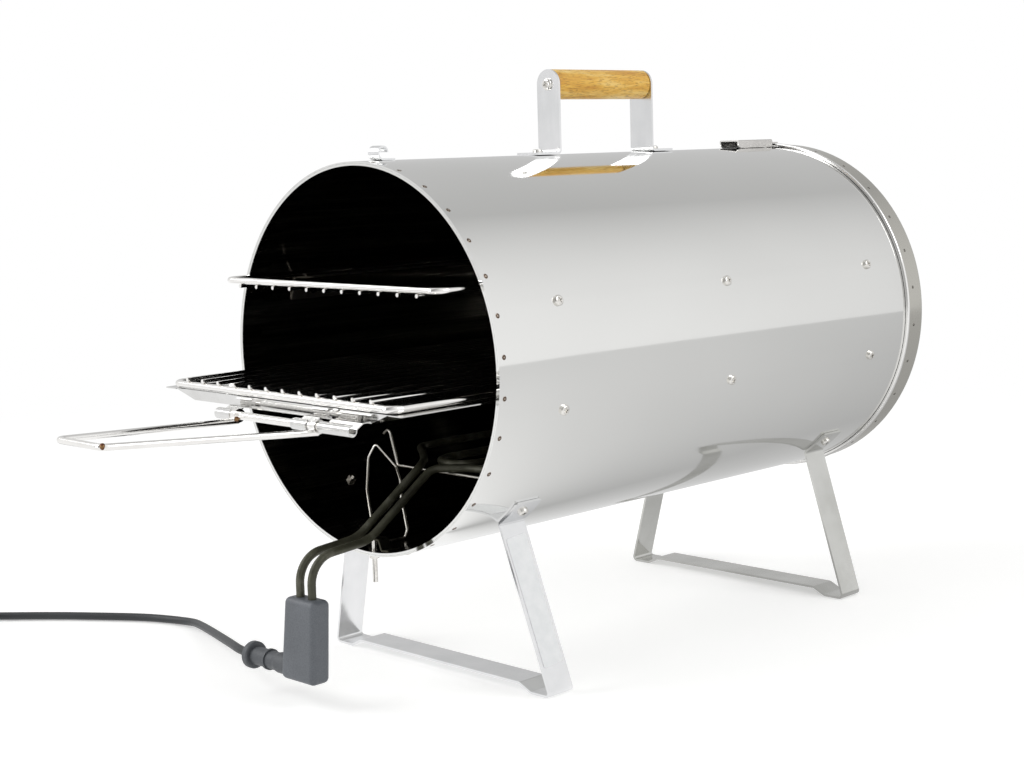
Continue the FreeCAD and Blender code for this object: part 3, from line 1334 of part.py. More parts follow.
coil_edges = [Part.LineSegment(coil_entry - cable_heading * coil_lead, coil_points[0])]
for number in range(len(coil_points) - 1):
    way = cable_heading if number % 2 == 0 else cable_heading * -1
    coil_edges.extend(half_turn(coil_points[number], coil_points[number + 1], way))
coil_exit = coil_points[-1] + cable_heading * coil_lead
coil_edges.append(Part.LineSegment(coil_points[-1], coil_exit))
coil_solid = tube_along(coil_edges, size("cable_diameter"))
coil_path = wire_of(coil_edges)
coil_samples = coil_path.discretize(Distance=3.0)
coil_clearance = min(
    here.distanceToPoint(there)
    for number, here in enumerate(coil_samples)
    for there in coil_samples[number + 12:]
) - size("cable_diameter")
print("cable_coil length", round(coil_path.Length, 1), "least gap to itself",
      round(coil_clearance, 2), "volume ratio",
      round(coil_solid.Volume / (math.pi * cable_radius ** 2 * coil_path.Length), 4))
keep(feature_of("cable_coil_tube", coil_solid), "cable_coil")

# Tail of the cable, up to the plug
plug_entry = coil_exit + cable_heading * 74
plug_entry = Vector(plug_entry.x, plug_entry.y, size("plug_height"))
tail_points = [
    coil_exit,
    coil_exit + cable_heading * 24 + Vector(0, 0, 1.0) + side_way * -1.0,
    coil_exit + cable_heading * 50 + Vector(0, 0, 5.9),
    plug_entry,
]
tail_length = cord_tube("cable_tail", tail_points)
print("whole cable length", round(free_length + coil_path.Length + tail_length, 1))

# Plug: a ribless moulded body with a sleeve, and two round pins
plug_body_node = new_body("plug_moulding")
plug_sketch = new_sketch(plug_body_node, "plug_profile", "XZ_Plane")
bound_outline(plug_sketch, [
    ("0", "0"),
    ("0", "Size.cable_diameter / 2 + 2.2"),
    ("Size.plug_sleeve", "Size.cable_diameter / 2 + 4.5"),
    ("Size.plug_sleeve + Size.plug_length * 0.45", "Size.plug_diameter / 2 - 2.5"),
    ("Size.plug_sleeve + Size.plug_length * 0.62", "Size.plug_diameter / 2"),
    ("Size.plug_sleeve + Size.plug_length", "Size.plug_diameter / 2"),
    ("Size.plug_sleeve + Size.plug_length", "0"),
])
revolve(plug_body_node, plug_sketch)
plug_turn = math.degrees(math.atan2(cable_heading.y, cable_heading.x))
plug_body_node.Placement = Placement(plug_entry, Rotation(Z_AXIS, plug_turn))
keep(plug_body_node, "plug_body")
plug_face = plug_entry + cable_heading * (size("plug_sleeve") + size("plug_length"))
pins = []
for side_sign in (1, -1):
    pin = Part.makeCylinder(size("pin_diameter") / 2, size("pin_length"))
    pin = pin.makeFillet(size("pin_diameter") * 0.3, [pin.Edges[0]])
    pin.Placement = Placement(plug_face + side_way * (side_sign * size("pin_spacing") / 2),
                              Rotation(Z_AXIS, cable_heading))
    pins.append(pin)
keep(feature_of("plug_pin_pair", Part.makeCompound(pins)), "plug_pins")

# Check every object, move the smoker over the origin and write the files
CORD_NODES = {"cable_free", "cable_coil", "cable_tail", "plug_body", "plug_pins"}
document.recompute()
for thing in document.Objects:
    if "Invalid" in thing.State or "Error" in thing.State:
        raise RuntimeError(f"{thing.Label} failed: {thing.State}")
for node in nodes:
    if node.Shape.isNull() or not node.Shape.isValid() or not node.Shape.Solids:
        raise RuntimeError(f"{node.Label} has no valid shape")
front_end = min(node.Shape.BoundBox.YMin for node in nodes if node.Label not in CORD_NODES)
rear_end = max(node.Shape.BoundBox.YMax for node in nodes if node.Label not in CORD_NODES)
shift = Vector(0, -(front_end + rear_end) / 2, 0)
print("front end", round(front_end, 3), "rear end", round(rear_end, 3), "shift", round(shift.y, 3))
for node in nodes:
    node.Placement = Placement(shift, Rotation()).multiply(node.Placement)
document.recompute()
os.makedirs("parts", exist_ok=True)
for node in nodes:
    node.Shape.exportStep(f"parts/{node.Label}.step")
    print(node.Label, len(node.Shape.Solids), "solids", round(node.Shape.Volume / 1000, 3), "cm3")
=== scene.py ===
import bpy
import json
import math
import numpy as np
from mathutils import Matrix, Vector


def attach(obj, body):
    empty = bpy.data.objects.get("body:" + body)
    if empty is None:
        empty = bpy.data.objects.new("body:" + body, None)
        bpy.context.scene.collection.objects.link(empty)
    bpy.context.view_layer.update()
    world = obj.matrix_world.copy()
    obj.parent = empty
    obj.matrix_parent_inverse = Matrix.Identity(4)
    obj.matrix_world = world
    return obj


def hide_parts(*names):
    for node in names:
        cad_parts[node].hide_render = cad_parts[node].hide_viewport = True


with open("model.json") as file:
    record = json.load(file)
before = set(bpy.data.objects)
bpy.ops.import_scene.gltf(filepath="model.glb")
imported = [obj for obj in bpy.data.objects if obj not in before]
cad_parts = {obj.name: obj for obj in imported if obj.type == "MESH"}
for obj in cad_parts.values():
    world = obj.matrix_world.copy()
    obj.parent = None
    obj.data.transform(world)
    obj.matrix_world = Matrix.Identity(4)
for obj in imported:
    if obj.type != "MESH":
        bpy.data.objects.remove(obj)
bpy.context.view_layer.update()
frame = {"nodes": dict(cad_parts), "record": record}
nodes = frame["nodes"]

# Drum: the middle line runs along Y at x = 0, all lengths in metres
drum = {"radius": 0.1525, "innerBelow": 0.15145, "axisHeight": 0.2593, "mouth": -0.144378}


# Camera: the photograph's place, turn and lens
cameraSet = {"place": (1.05756, -1.032228, 0.42087), "lens": 63.39, "turn": 45.158,
             "down": 7.559, "roll": -1.641}


def makeCamera():
    turn = math.radians(cameraSet["turn"])
    down = math.radians(cameraSet["down"])
    roll = math.radians(cameraSet["roll"])
    ahead = Vector((-math.sin(turn) * math.cos(down), math.cos(turn) * math.cos(down), -math.sin(down)))
    right = Vector((math.cos(turn), math.sin(turn), 0))
    above = right.cross(ahead)
    side = right * math.cos(roll) + above * math.sin(roll)
    top = -right * math.sin(roll) + above * math.cos(roll)
    data = bpy.data.cameras.new("photoCamera")
    data.lens = cameraSet["lens"]
    data.sensor_width = 36
    data.clip_start = 0.01
    data.clip_end = 60
    camera = bpy.data.objects.new("photoCamera", data)
    columns = Matrix((side, top, -ahead)).transposed()
    camera.matrix_world = Matrix.Translation(cameraSet["place"]) @ columns.to_4x4()
    bpy.context.scene.collection.objects.link(camera)
    bpy.context.scene.camera = camera


makeCamera()
print("camera made")


# Mains lead: millimetres behind the drum's mouth, the way the solids were laid out
lead = {"diameter": 0.007, "length": 1.69, "behindMouth": -144.378,
        "free": [(-72.53, -62, 28.5), (-86.53, -62, 28.5), (-117, -49.3, 26), (-250, 11.6, 7.2),
                 (-270, 15.4, 4.6), (-291, 12.6, 3.5), (-318, 1.5, 3.5), (-351, -21, 3.5), (-388, -47.5, 3.5)],
        "coilEntry": (-468, -113, 3.5), "heading": (-0.791, -0.612), "middle": 50,
        "inward": [50, 45.5, 41, 36.5, 32, 27.5], "outward": [27.5, 32, 36.5, 41, 45.5],
        "layer": 7.6}


def leadPoints():
    # the free stretch, then half turns that spiral in, climb one layer and spiral out, then the tail
    heading = np.array([*lead["heading"], 0.0])
    heading /= np.linalg.norm(heading)
    side = np.array([-heading[1], heading[0], 0.0])
    entry = np.array(lead["coilEntry"], float)
    centre = entry + side * lead["middle"]
    points = [np.array(point, float) for point in lead["free"]]
    points += [entry - heading * 45, entry - heading * 7]
    levels = [0] * len(lead["inward"]) + [1] * len(lead["outward"])
    radii = lead["inward"] + lead["outward"]
    last = len(radii) - 1
    for index in range(last):
        away = -1 if index % 2 == 0 else 1
        start = side * away * radii[index]
        end = -side * away * radii[index + 1]
        middle = (start + end) / 2
        reach = (radii[index] + radii[index + 1]) / 2
        for step in range(0, 7):
            angle = math.pi * step / 7
            place = middle + side * away * reach * math.cos(angle) - heading * away * reach * math.sin(angle)
            lift = lead["layer"] * (levels[index] + (levels[index + 1] - levels[index]) * step / 7)
            points.append(centre + place + np.array([0, 0, lift]))
    away = -1 if last % 2 == 0 else 1
    end = centre + side * away * radii[last] + np.array([0, 0, lead["layer"] * levels[last]])
    leave = end + heading * 7
    points += [end, leave, leave + heading * 24 + np.array([0, 0, 1.0]) - side,
               leave + heading * 50 + np.array([0, 0, 5.9])]
    plugEntry = leave + heading * 74
    plugEntry[2] = 18.5
    points.append(plugEntry)
    metres = np.array(points)
    metres[:, 1] += lead["behindMouth"]
    return metres / 1000


def makeLead():
    points = leadPoints()
    curve = bpy.data.curves.new("mainsLead", "CURVE")
    curve.dimensions = "3D"
    curve.bevel_depth = 1.0  # each point's radius is the lead's own
    curve.bevel_resolution = 5
    curve.use_fill_caps = True
    curve.resolution_u = 10
    spline = curve.splines.new("NURBS")
    spline.points.add(len(points) - 1)
    spline.points.foreach_set("co", np.c_[points, np.ones(len(points))].ravel())
    spline.points.foreach_set("radius", np.full(len(points), lead["diameter"] / 2))
    spline.order_u = 3
    spline.use_endpoint_u = True
    piece = bpy.data.objects.new("mainsLead", curve)
    bpy.context.scene.collection.objects.link(piece)
    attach(piece, "root")
    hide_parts("cable_free", "cable_coil", "cable_tail")
    return piece


mainsLead = makeLead()
print("mains lead laid")


# Helpers for meshes
def meshPiece(name, points, faces, material, body, smooth=True):
    mesh = bpy.data.meshes.new(name)
    mesh.from_pydata(points.tolist(), [], faces)
    mesh.polygons.foreach_set("use_smooth", np.full(len(mesh.polygons), smooth))
    mesh.update()
    piece = bpy.data.objects.new(name, mesh)
    bpy.context.scene.collection.objects.link(piece)
    piece.data.materials.append(material)
    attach(piece, body)
    return piece


def beads(name, centres, first, second, outward, material, body, rows=6, sides=14):
    # each bead is a squashed ball: centre + first*sin(a)cos(b) + second*sin(a)sin(b) + outward*cos(a)
    a = np.linspace(0, math.pi, rows + 1)[1:-1]
    b = np.linspace(0, 2 * math.pi, sides, endpoint=False)
    ring = np.stack([np.outer(np.sin(a), np.cos(b)), np.outer(np.sin(a), np.sin(b)),
                     np.outer(np.cos(a), np.ones(sides))], -1).reshape(-1, 3)
    unit = np.vstack([[[0, 0, 1]], ring, [[0, 0, -1]]])
    count = len(unit)
    points = (centres[:, None, :] + unit[None, :, 0:1] * first[:, None, :]
              + unit[None, :, 1:2] * second[:, None, :] + unit[None, :, 2:3] * outward[:, None, :])
    row, side = np.meshgrid(np.arange(rows - 2), np.arange(sides), indexing="ij")
    after = (side + 1) % sides
    quads = np.stack([1 + row * sides + side, 1 + (row + 1) * sides + side,
                      1 + (row + 1) * sides + after, 1 + row * sides + after], -1).reshape(-1, 4)
    turn = np.arange(sides)
    turnAfter = (turn + 1) % sides
    top = np.stack([np.zeros(sides, int), 1 + turn, 1 + turnAfter], -1)
    low = 1 + (rows - 2) * sides
    bottom = np.stack([np.full(sides, count - 1), low + turnAfter, low + turn], -1)
    faces = []
    for start in np.arange(len(centres)) * count:
        faces += (quads + start).tolist() + (top + start).tolist() + (bottom + start).tolist()
    piece = meshPiece(name, points.reshape(-1, 3), faces, material, body)
    fromMiddle = piece.data.attributes.new("fromMiddle", "FLOAT", "POINT")
    fromMiddle.data.foreach_set("value", np.tile(np.hypot(unit[:, 0], unit[:, 1]), len(centres)))
    return piece


# Helpers for materials. Sockets by number: MapRange has 0 the value, 1 and 2 its range, 3 and 4 the new
# range. Mapping has 0 the place and 3 the scale. A colour Mix has 0 the share, 6 and 7 the two colours
def hexColour(text):
    # an sRGB hex colour as linear red, green, blue and alpha
    values = np.array([int(text[i:i + 2], 16) for i in (1, 3, 5)]) / 255
    linear = np.where(values <= 0.04045, values / 12.92, ((values + 0.055) / 1.055) ** 2.4)
    return (*linear.tolist(), 1.0)


def addNode(tree, kind, settings=None, inputs=None):
    # one node, with its settings, a ramp's stops and what goes into each of its sockets
    node = tree.nodes.new("ShaderNode" + kind)
    for name, value in (settings or {}).items():
        if name == "stops":
            while len(node.color_ramp.elements) < len(value):
                node.color_ramp.elements.new(0.5)
            for element, (position, colour) in zip(node.color_ramp.elements, value):
                element.position = position
                element.color = colour
        else:
            setattr(node, name, value)
    for key, value in (inputs or {}).items():
        if isinstance(value, bpy.types.NodeSocket):
            tree.links.new(value, node.inputs[key])
        else:
            node.inputs[key].default_value = value
    return node


def newMaterial(name):
    material = bpy.data.materials.new(name)
    material.use_nodes = True
    tree = material.node_tree
    tree.nodes.clear()
    shader = addNode(tree, "BsdfPrincipled")
    end = addNode(tree, "OutputMaterial")
    tree.links.new(shader.outputs[0], end.inputs[0])
    place = addNode(tree, "TexCoord").outputs["Object"]
    return material, tree, shader, place


def drumRadiusAt(tree, place):
    # distance of a point from the drum's middle line
    parts = addNode(tree, "SeparateXYZ", None, {0: place})
    height = addNode(tree, "Math", {"operation": "SUBTRACT"}, {0: parts.outputs[2], 1: drum["axisHeight"]})
    flat = addNode(tree, "CombineXYZ", None, {0: parts.outputs[0], 2: height.outputs[0]})
    return addNode(tree, "VectorMath", {"operation": "LENGTH"}, {0: flat.outputs[0]}).outputs["Value"], parts


def shadeInRecess(tree, bright, dark, reach):
    # painted shade: in a narrow recess the colour darkens where little sky reaches it
    sky = addNode(tree, "AmbientOcclusion", {"samples": 8, "only_local": True}, {"Distance": reach})
    share = addNode(tree, "MapRange", None, {0: sky.outputs["AO"], 1: 0.25, 2: 0.6, 3: 0.0, 4: 1.0})
    return addNode(tree, "Mix", {"data_type": "RGBA"}, {0: share.outputs[0], 6: dark, 7: bright}).outputs[2]


# Bright annealed 304 stainless sheet, rolled into a tube: a mirror with faint waves; inside, the
# rolling marks run along the tube and show as long dim streaks
steelSet = {"outside": "#ececea", "outsideSecond": "#e4e4e2", "inside": "#b9b6b0", "insideDark": "#57534d",
            "wave": 0.05, "edge": 0.0005}


def drumSteel():
    material, tree, shader, place = newMaterial("polishedDrumSheet")
    radius, parts = drumRadiusAt(tree, place)
    within = addNode(tree, "Math", {"operation": "LESS_THAN"}, {0: radius, 1: drum["innerBelow"]})
    behindEdge = addNode(tree, "Math", {"operation": "GREATER_THAN"},
                         {0: parts.outputs[1], 1: drum["mouth"] + steelSet["edge"]})
    inside = addNode(tree, "Math", {"operation": "MULTIPLY"},
                     {0: within.outputs[0], 1: behindEdge.outputs[0]}).outputs[0]
    markPlace = addNode(tree, "Mapping", None, {0: place, 3: (170, 4, 170)})
    streaks = addNode(tree, "TexNoise", None, {"Vector": markPlace.outputs[0], "Scale": 1.0, "Detail": 4.0,
                                               "Roughness": 0.65}).outputs["Fac"]
    markShare = addNode(tree, "MapRange", None, {0: streaks, 1: 0.35, 2: 0.7, 3: 0.0, 4: 1.0})
    rolled = addNode(tree, "Mix", {"data_type": "RGBA"}, {
        0: markShare.outputs[0], 6: hexColour(steelSet["insideDark"]), 7: hexColour(steelSet["inside"])})
    tonePlace = addNode(tree, "Mapping", None, {0: place, 3: (6, 3, 6)})
    tone = addNode(tree, "TexNoise", None, {"Vector": tonePlace.outputs[0], "Scale": 1.0, "Detail": 2.0,
                                            "Roughness": 0.55})
    toneShare = addNode(tree, "MapRange", None, {0: tone.outputs["Fac"], 1: 0.3, 2: 0.7, 3: 0.0, 4: 1.0})
    outer = addNode(tree, "Mix", {"data_type": "RGBA"}, {
        0: toneShare.outputs[0], 6: hexColour(steelSet["outside"]), 7: hexColour(steelSet["outsideSecond"])})
    colour = addNode(tree, "Mix", {"data_type": "RGBA"}, {0: inside, 6: outer.outputs[2], 7: rolled.outputs[2]})
    tree.links.new(colour.outputs[2], shader.inputs["Base Color"])
    shader.inputs["Metallic"].default_value = 1.0
    drift = addNode(tree, "TexNoise", None, {"Vector": place, "Scale": 40.0, "Detail": 3.0, "Roughness": 0.55})
    outerRough = addNode(tree, "MapRange", None, {0: drift.outputs["Fac"], 1: 0.3, 2: 0.7, 3: 0.05, 4: 0.085})
    innerRough = addNode(tree, "MapRange", None, {0: streaks, 1: 0.3, 2: 0.7, 3: 0.08, 4: 0.2})
    rough = addNode(tree, "Mix", {"data_type": "FLOAT"},
                    {0: inside, 2: outerRough.outputs[0], 3: innerRough.outputs[0]})
    tree.links.new(rough.outputs[0], shader.inputs["Roughness"])
    wavePlace = addNode(tree, "Mapping", None, {0: place, 3: (14, 9, 14)})
    waves = addNode(tree, "TexNoise", None, {"Vector": wavePlace.outputs[0], "Scale": 1.0, "Detail": 1.0,
                                             "Roughness": 0.4})
    ripple = addNode(tree, "Bump", None, {"Strength": steelSet["wave"], "Distance": 0.002,
                                          "Height": waves.outputs["Fac"]})
    marks = addNode(tree, "Math", {"operation": "MULTIPLY"}, {0: streaks, 1: inside})
    bump = addNode(tree, "Bump", None, {"Strength": 0.35, "Distance": 0.0004, "Height": marks.outputs[0],
                                        "Normal": ripple.outputs[0]})
    tree.links.new(bump.outputs[0], shader.inputs["Normal"])
    return material


# Lid: its rolled front edge, lighter as a painted highlight, ends at this Y, and the fine turned rings are this far
# apart
lidSet = {"edgeBefore": 0.3792, "sheet": "#c3c1ba", "rolledEdgeHighlight": "#f1f0ee", "ringPitch": 0.0012}


def lidSteel():
    # the same sheet, pressed: a little duller and warmer, with fine turned rings on its face and a painted
    # highlight on its rolled front edge
    material, tree, shader, place = newMaterial("pressedLidSheet")
    radius, parts = drumRadiusAt(tree, place)
    # painted highlight: the rolled front edge is given a lighter colour than the rest of the sheet
    edge = addNode(tree, "Math", {"operation": "LESS_THAN"}, {0: parts.outputs[1], 1: lidSet["edgeBefore"]})
    colour = addNode(tree, "Mix", {"data_type": "RGBA"}, {
        0: edge.outputs[0], 6: hexColour(lidSet["sheet"]), 7: hexColour(lidSet["rolledEdgeHighlight"])})
    tree.links.new(colour.outputs[2], shader.inputs["Base Color"])
    shader.inputs["Metallic"].default_value = 1.0
    drift = addNode(tree, "TexNoise", None, {"Vector": place, "Scale": 60.0, "Detail": 3.0, "Roughness": 0.55})
    rough = addNode(tree, "MapRange", None, {0: drift.outputs["Fac"], 1: 0.3, 2: 0.7, 3: 0.12, 4: 0.2})
    tree.links.new(rough.outputs[0], shader.inputs["Roughness"])
    turns = addNode(tree, "Math", {"operation": "MULTIPLY"}, {0: radius, 1: 2 * math.pi / lidSet["ringPitch"]})
    rings = addNode(tree, "Math", {"operation": "SINE"}, {0: turns.outputs[0]})
    bump = addNode(tree, "Bump", None, {"Strength": 0.03, "Distance": 0.0002, "Height": rings.outputs[0]})
    tree.links.new(bump.outputs[0], shader.inputs["Normal"])
    return material


def plainMetal(name, colour, second, lowRough, highRough, grain, bumpHeight=0.0001, bumpStrength=0.1):
    # a metal whose tone and gloss drift a little, with a grain of the given stretch
    material, tree, shader, place = newMaterial(name)
    drift = addNode(tree, "TexNoise", None, {"Vector": place, "Scale": 25.0, "Detail": 3.0, "Roughness": 0.55})
    share = addNode(tree, "MapRange", None, {0: drift.outputs["Fac"], 1: 0.3, 2: 0.7, 3: 0.0, 4: 1.0})
    tone = addNode(tree, "Mix", {"data_type": "RGBA"},
                   {0: share.outputs[0], 6: hexColour(colour), 7: hexColour(second)})
    tree.links.new(tone.outputs[2], shader.inputs["Base Color"])
    shader.inputs["Metallic"].default_value = 1.0
    grainPlace = addNode(tree, "Mapping", None, {0: place, 3: grain})
    fine = addNode(tree, "TexNoise", None, {"Vector": grainPlace.outputs[0], "Scale": 1.0, "Detail": 3.0,
                                            "Roughness": 0.6}).outputs["Fac"]
    rough = addNode(tree, "MapRange", None, {0: fine, 1: 0.3, 2: 0.7, 3: lowRough, 4: highRough})
    tree.links.new(rough.outputs[0], shader.inputs["Roughness"])
    bump = addNode(tree, "Bump", None, {"Strength": bumpStrength, "Distance": bumpHeight, "Height": fine})
    tree.links.new(bump.outputs[0], shader.inputs["Normal"])
    return material


def fastenerSteel():
    # bright cold-headed steel: near mirror on the crown, with painted shade, black, in the cross recess and at the
    # edges of nuts
    material, tree, shader, place = newMaterial("brightFastener")
    drift = addNode(tree, "TexNoise", None, {"Vector": place, "Scale": 300.0, "Detail": 3.0,
                                             "Roughness": 0.55}).outputs["Fac"]
    share = addNode(tree, "MapRange", None, {0: drift, 1: 0.3, 2: 0.7, 3: 0.0, 4: 1.0})
    bright = addNode(tree, "Mix", {"data_type": "RGBA"},
                     {0: share.outputs[0], 6: hexColour("#f2f0ec"), 7: hexColour("#d8d5cf")})
    # painted shade: near black where little sky reaches the recess
    tree.links.new(shadeInRecess(tree, bright.outputs[2], hexColour("#16150f"), 0.0009),
                   shader.inputs["Base Color"])
    shader.inputs["Metallic"].default_value = 1.0
    rough = addNode(tree, "MapRange", None, {0: drift, 1: 0.3, 2: 0.7, 3: 0.08, 4: 0.16})
    tree.links.new(rough.outputs[0], shader.inputs["Roughness"])
    fine = addNode(tree, "TexNoise", None, {"Vector": place, "Scale": 900.0, "Detail": 3.0, "Roughness": 0.55})
    bump = addNode(tree, "Bump", None, {"Strength": 0.08, "Distance": 0.0001, "Height": fine.outputs["Fac"]})
    tree.links.new(bump.outputs[0], shader.inputs["Normal"])
    return material


# Grip: the dent is where the photograph has it, low on the near end
grip = {"dark": "#cf9330", "middle": "#eab84c", "light": "#f8d888", "pore": "#96601f",
        "dent": (0.0125, 0.0952, 0.4640), "dentSize": 0.0022}


def gripWood():
    # oiled beech, turned: warm yellow-orange, short fine brown pores along Y, a small dark dent
    material, tree, shader, place = newMaterial("oiledBeech")
    slowPlace = addNode(tree, "Mapping", None, {0: place, 3: (150, 16, 150)})
    slow = addNode(tree, "TexNoise", None, {"Vector": slowPlace.outputs[0], "Scale": 1.0, "Detail": 5.0,
                                            "Roughness": 0.65})
    porePlace = addNode(tree, "Mapping", None, {0: place, 3: (1300, 150, 1300)})
    pores = addNode(tree, "TexNoise", None, {"Vector": porePlace.outputs[0], "Scale": 1.0, "Detail": 2.0,
                                             "Roughness": 0.5})
    base = addNode(tree, "ValToRGB", {"stops": [
        (0.32, hexColour(grip["dark"])), (0.48, hexColour(grip["middle"])), (0.66, hexColour(grip["light"]))]},
                   {0: slow.outputs["Fac"]})
    dark = addNode(tree, "ValToRGB", {"stops": [(0.36, (1, 1, 1, 1)), (0.47, (0, 0, 0, 1))]},
                   {0: pores.outputs["Fac"]})
    grain = addNode(tree, "Math", {"operation": "MULTIPLY"}, {0: dark.outputs[0], 1: 0.55})
    toDent = addNode(tree, "VectorMath", {"operation": "DISTANCE"}, {0: place, 1: grip["dent"]})
    dent = addNode(tree, "MapRange", None, {0: toDent.outputs["Value"], 1: grip["dentSize"] * 0.4,
                                            2: grip["dentSize"], 3: 0.75, 4: 0.0})
    worn = addNode(tree, "Math", {"operation": "MAXIMUM"}, {0: grain.outputs[0], 1: dent.outputs[0]}).outputs[0]
    colour = addNode(tree, "Mix", {"data_type": "RGBA"},
                     {0: worn, 6: base.outputs[0], 7: hexColour(grip["pore"])})
    tree.links.new(colour.outputs[2], shader.inputs["Base Color"])
    shader.inputs["Roughness"].default_value = 0.42
    shader.inputs["Coat Weight"].default_value = 0.12
    shader.inputs["Coat Roughness"].default_value = 0.3
    bump = addNode(tree, "Bump", {"invert": True}, {"Strength": 0.35, "Distance": 0.0003, "Height": worn})
    tree.links.new(bump.outputs[0], shader.inputs["Normal"])
    return material


def mouldedPolymer(name, colour, second, rough, grainSize, bumpStrength):
    # a moulded skin: sparked grain of the given size in metres that shows as fine speckle, drifting tone
    material, tree, shader, place = newMaterial(name)
    drift = addNode(tree, "TexNoise", None, {"Vector": place, "Scale": 30.0, "Detail": 3.0, "Roughness": 0.55})
    grain = addNode(tree, "TexNoise", None, {"Vector": place, "Scale": 1 / grainSize, "Detail": 2.0,
                                             "Roughness": 0.5}).outputs["Fac"]
    driftShare = addNode(tree, "MapRange", None, {0: drift.outputs["Fac"], 1: 0.3, 2: 0.7, 3: 0.0, 4: 0.4})
    grainShare = addNode(tree, "MapRange", None, {0: grain, 1: 0.3, 2: 0.7, 3: 0.0, 4: 0.6})
    both = addNode(tree, "Math", {"operation": "ADD"}, {0: driftShare.outputs[0], 1: grainShare.outputs[0]})
    tone = addNode(tree, "Mix", {"data_type": "RGBA"},
                   {0: both.outputs[0], 6: hexColour(colour), 7: hexColour(second)})
    tree.links.new(tone.outputs[2], shader.inputs["Base Color"])
    gloss = addNode(tree, "MapRange", None, {0: grain, 1: 0.3, 2: 0.7, 3: rough - 0.05, 4: rough + 0.07})
    tree.links.new(gloss.outputs[0], shader.inputs["Roughness"])
    bump = addNode(tree, "Bump", None, {"Strength": bumpStrength, "Distance": 0.0002, "Height": grain})
    tree.links.new(bump.outputs[0], shader.inputs["Normal"])
    return material


def heatedTube():
    # nickel alloy sheath, oxidised by heat: dark olive, dull, with paler worn patches
    material, tree, shader, place = newMaterial("oxidisedSheath")
    patches = addNode(tree, "TexNoise", None, {"Vector": place, "Scale": 60.0, "Detail": 4.0, "Roughness": 0.6})
    fine = addNode(tree, "TexNoise", None, {"Vector": place, "Scale": 900.0, "Detail": 2.0,
                                            "Roughness": 0.55}).outputs["Fac"]
    colour = addNode(tree, "ValToRGB", {"stops": [
        (0.3, hexColour("#35342a")), (0.55, hexColour("#4a4a3b")), (0.72, hexColour("#67665a"))]},
                     {0: patches.outputs["Fac"]})
    tree.links.new(colour.outputs[0], shader.inputs["Base Color"])
    shader.inputs["Metallic"].default_value = 0.3
    rough = addNode(tree, "MapRange", None, {0: fine, 1: 0.3, 2: 0.7, 3: 0.34, 4: 0.5})
    tree.links.new(rough.outputs[0], shader.inputs["Roughness"])
    bump = addNode(tree, "Bump", None, {"Strength": 0.15, "Distance": 0.0001, "Height": fine})
    tree.links.new(bump.outputs[0], shader.inputs["Normal"])
    return material


finish = {
    "drum_steel": drumSteel(),
    "lid_steel": lidSteel(),
    "strip_steel": plainMetal("brightStrip", "#eeeeef", "#e2e3e4", 0.14, 0.22, (300, 300, 30)),
    "rail_steel": plainMetal("plainAngle", "#8c8883", "#6f6b65", 0.25, 0.4, (200, 20, 200)),
    "fastener_steel": fastenerSteel(),
    "rack_chrome": plainMetal("chromedWire", "#f8f7f5", "#ebe9e6", 0.05, 0.1, (400, 400, 400)),
    "tray_steel": plainMetal("polishedTraySheet", "#e6e6e5", "#d2d1cf", 0.06, 0.13, (250, 40, 250)),
    "grip_wood": gripWood(),
    "element_tube": heatedTube(),
    "stand_wire": plainMetal("drawnWire", "#efeeea", "#d3d0ca", 0.1, 0.2, (600, 600, 600)),
    "connector_grey": mouldedPolymer("mouldedGreyPolymer", "#6b6f75", "#54585d", 0.44, 0.0009, 0.2),
    "boot_rubber": mouldedPolymer("greySleeveRubber", "#5a5d61", "#484b4f", 0.5, 0.0008, 0.15),
    "cable_rubber": mouldedPolymer("blackLeadSheath", "#34373a", "#27292b", 0.46, 0.0008, 0.1),
    "plug_black": mouldedPolymer("blackPlugPolymer", "#26282a", "#1f2123", 0.38, 0.0005, 0.1),
    "pin_metal": plainMetal("platedPin", "#cfc7b2", "#bdb49c", 0.15, 0.25, (800, 100, 800)),
}
# Pieces whose finish differs from their neighbours': the catch strap is satin; the clamp, the rear leg and the
# front stand are darker as painted shade
ownFinish = {
    "lid_strap": plainMetal("satinStrap", "#d8d6d3", "#c9c7c4", 0.3, 0.4, (60, 60, 60), 0.0001, 0.02),
    # painted shade: the clamp's dark colour stands in for the shade it sits in
    "element_clamp": plainMetal("clampPaintedShade", "#5c5a4e", "#3f3d33", 0.3, 0.45, (300, 300, 300)),
    # painted shade: a darker copy of the bright strip steel
    "rear_leg": plainMetal("rearLegPaintedShade", "#d9d9d6", "#c9c9c5", 0.12, 0.2, (40, 40, 12)),
    # painted shade: a darker copy of the drawn wire
    "element_stand_front": plainMetal("frontStandPaintedShade", "#dedcd6", "#a9a59d", 0.14, 0.26, (500, 500, 500)),
}
slotOf = {part["node"]: part["material_slot"] for part in frame["record"]["subparts"]}
for name, node in nodes.items():
    node.data.materials.clear()
    node.data.materials.append(ownFinish.get(name, finish[slotOf[name]]))
mainsLead.data.materials.append(finish["cable_rubber"])
print("finishes given to", len(nodes), "nodes")


# Spot welds: small browned dots in a ring behind the mouth and round the lid's skirt
weldSet = {"rimCount": 32, "rimBehindMouth": 0.0055, "rimStart": 4.5, "lidCount": 28, "lidY": 0.3876,
           "lidStart": 8.3, "lidRadius": 0.1540, "rimDot": 0.0020, "lidDot": 0.0015, "height": 0.00022}


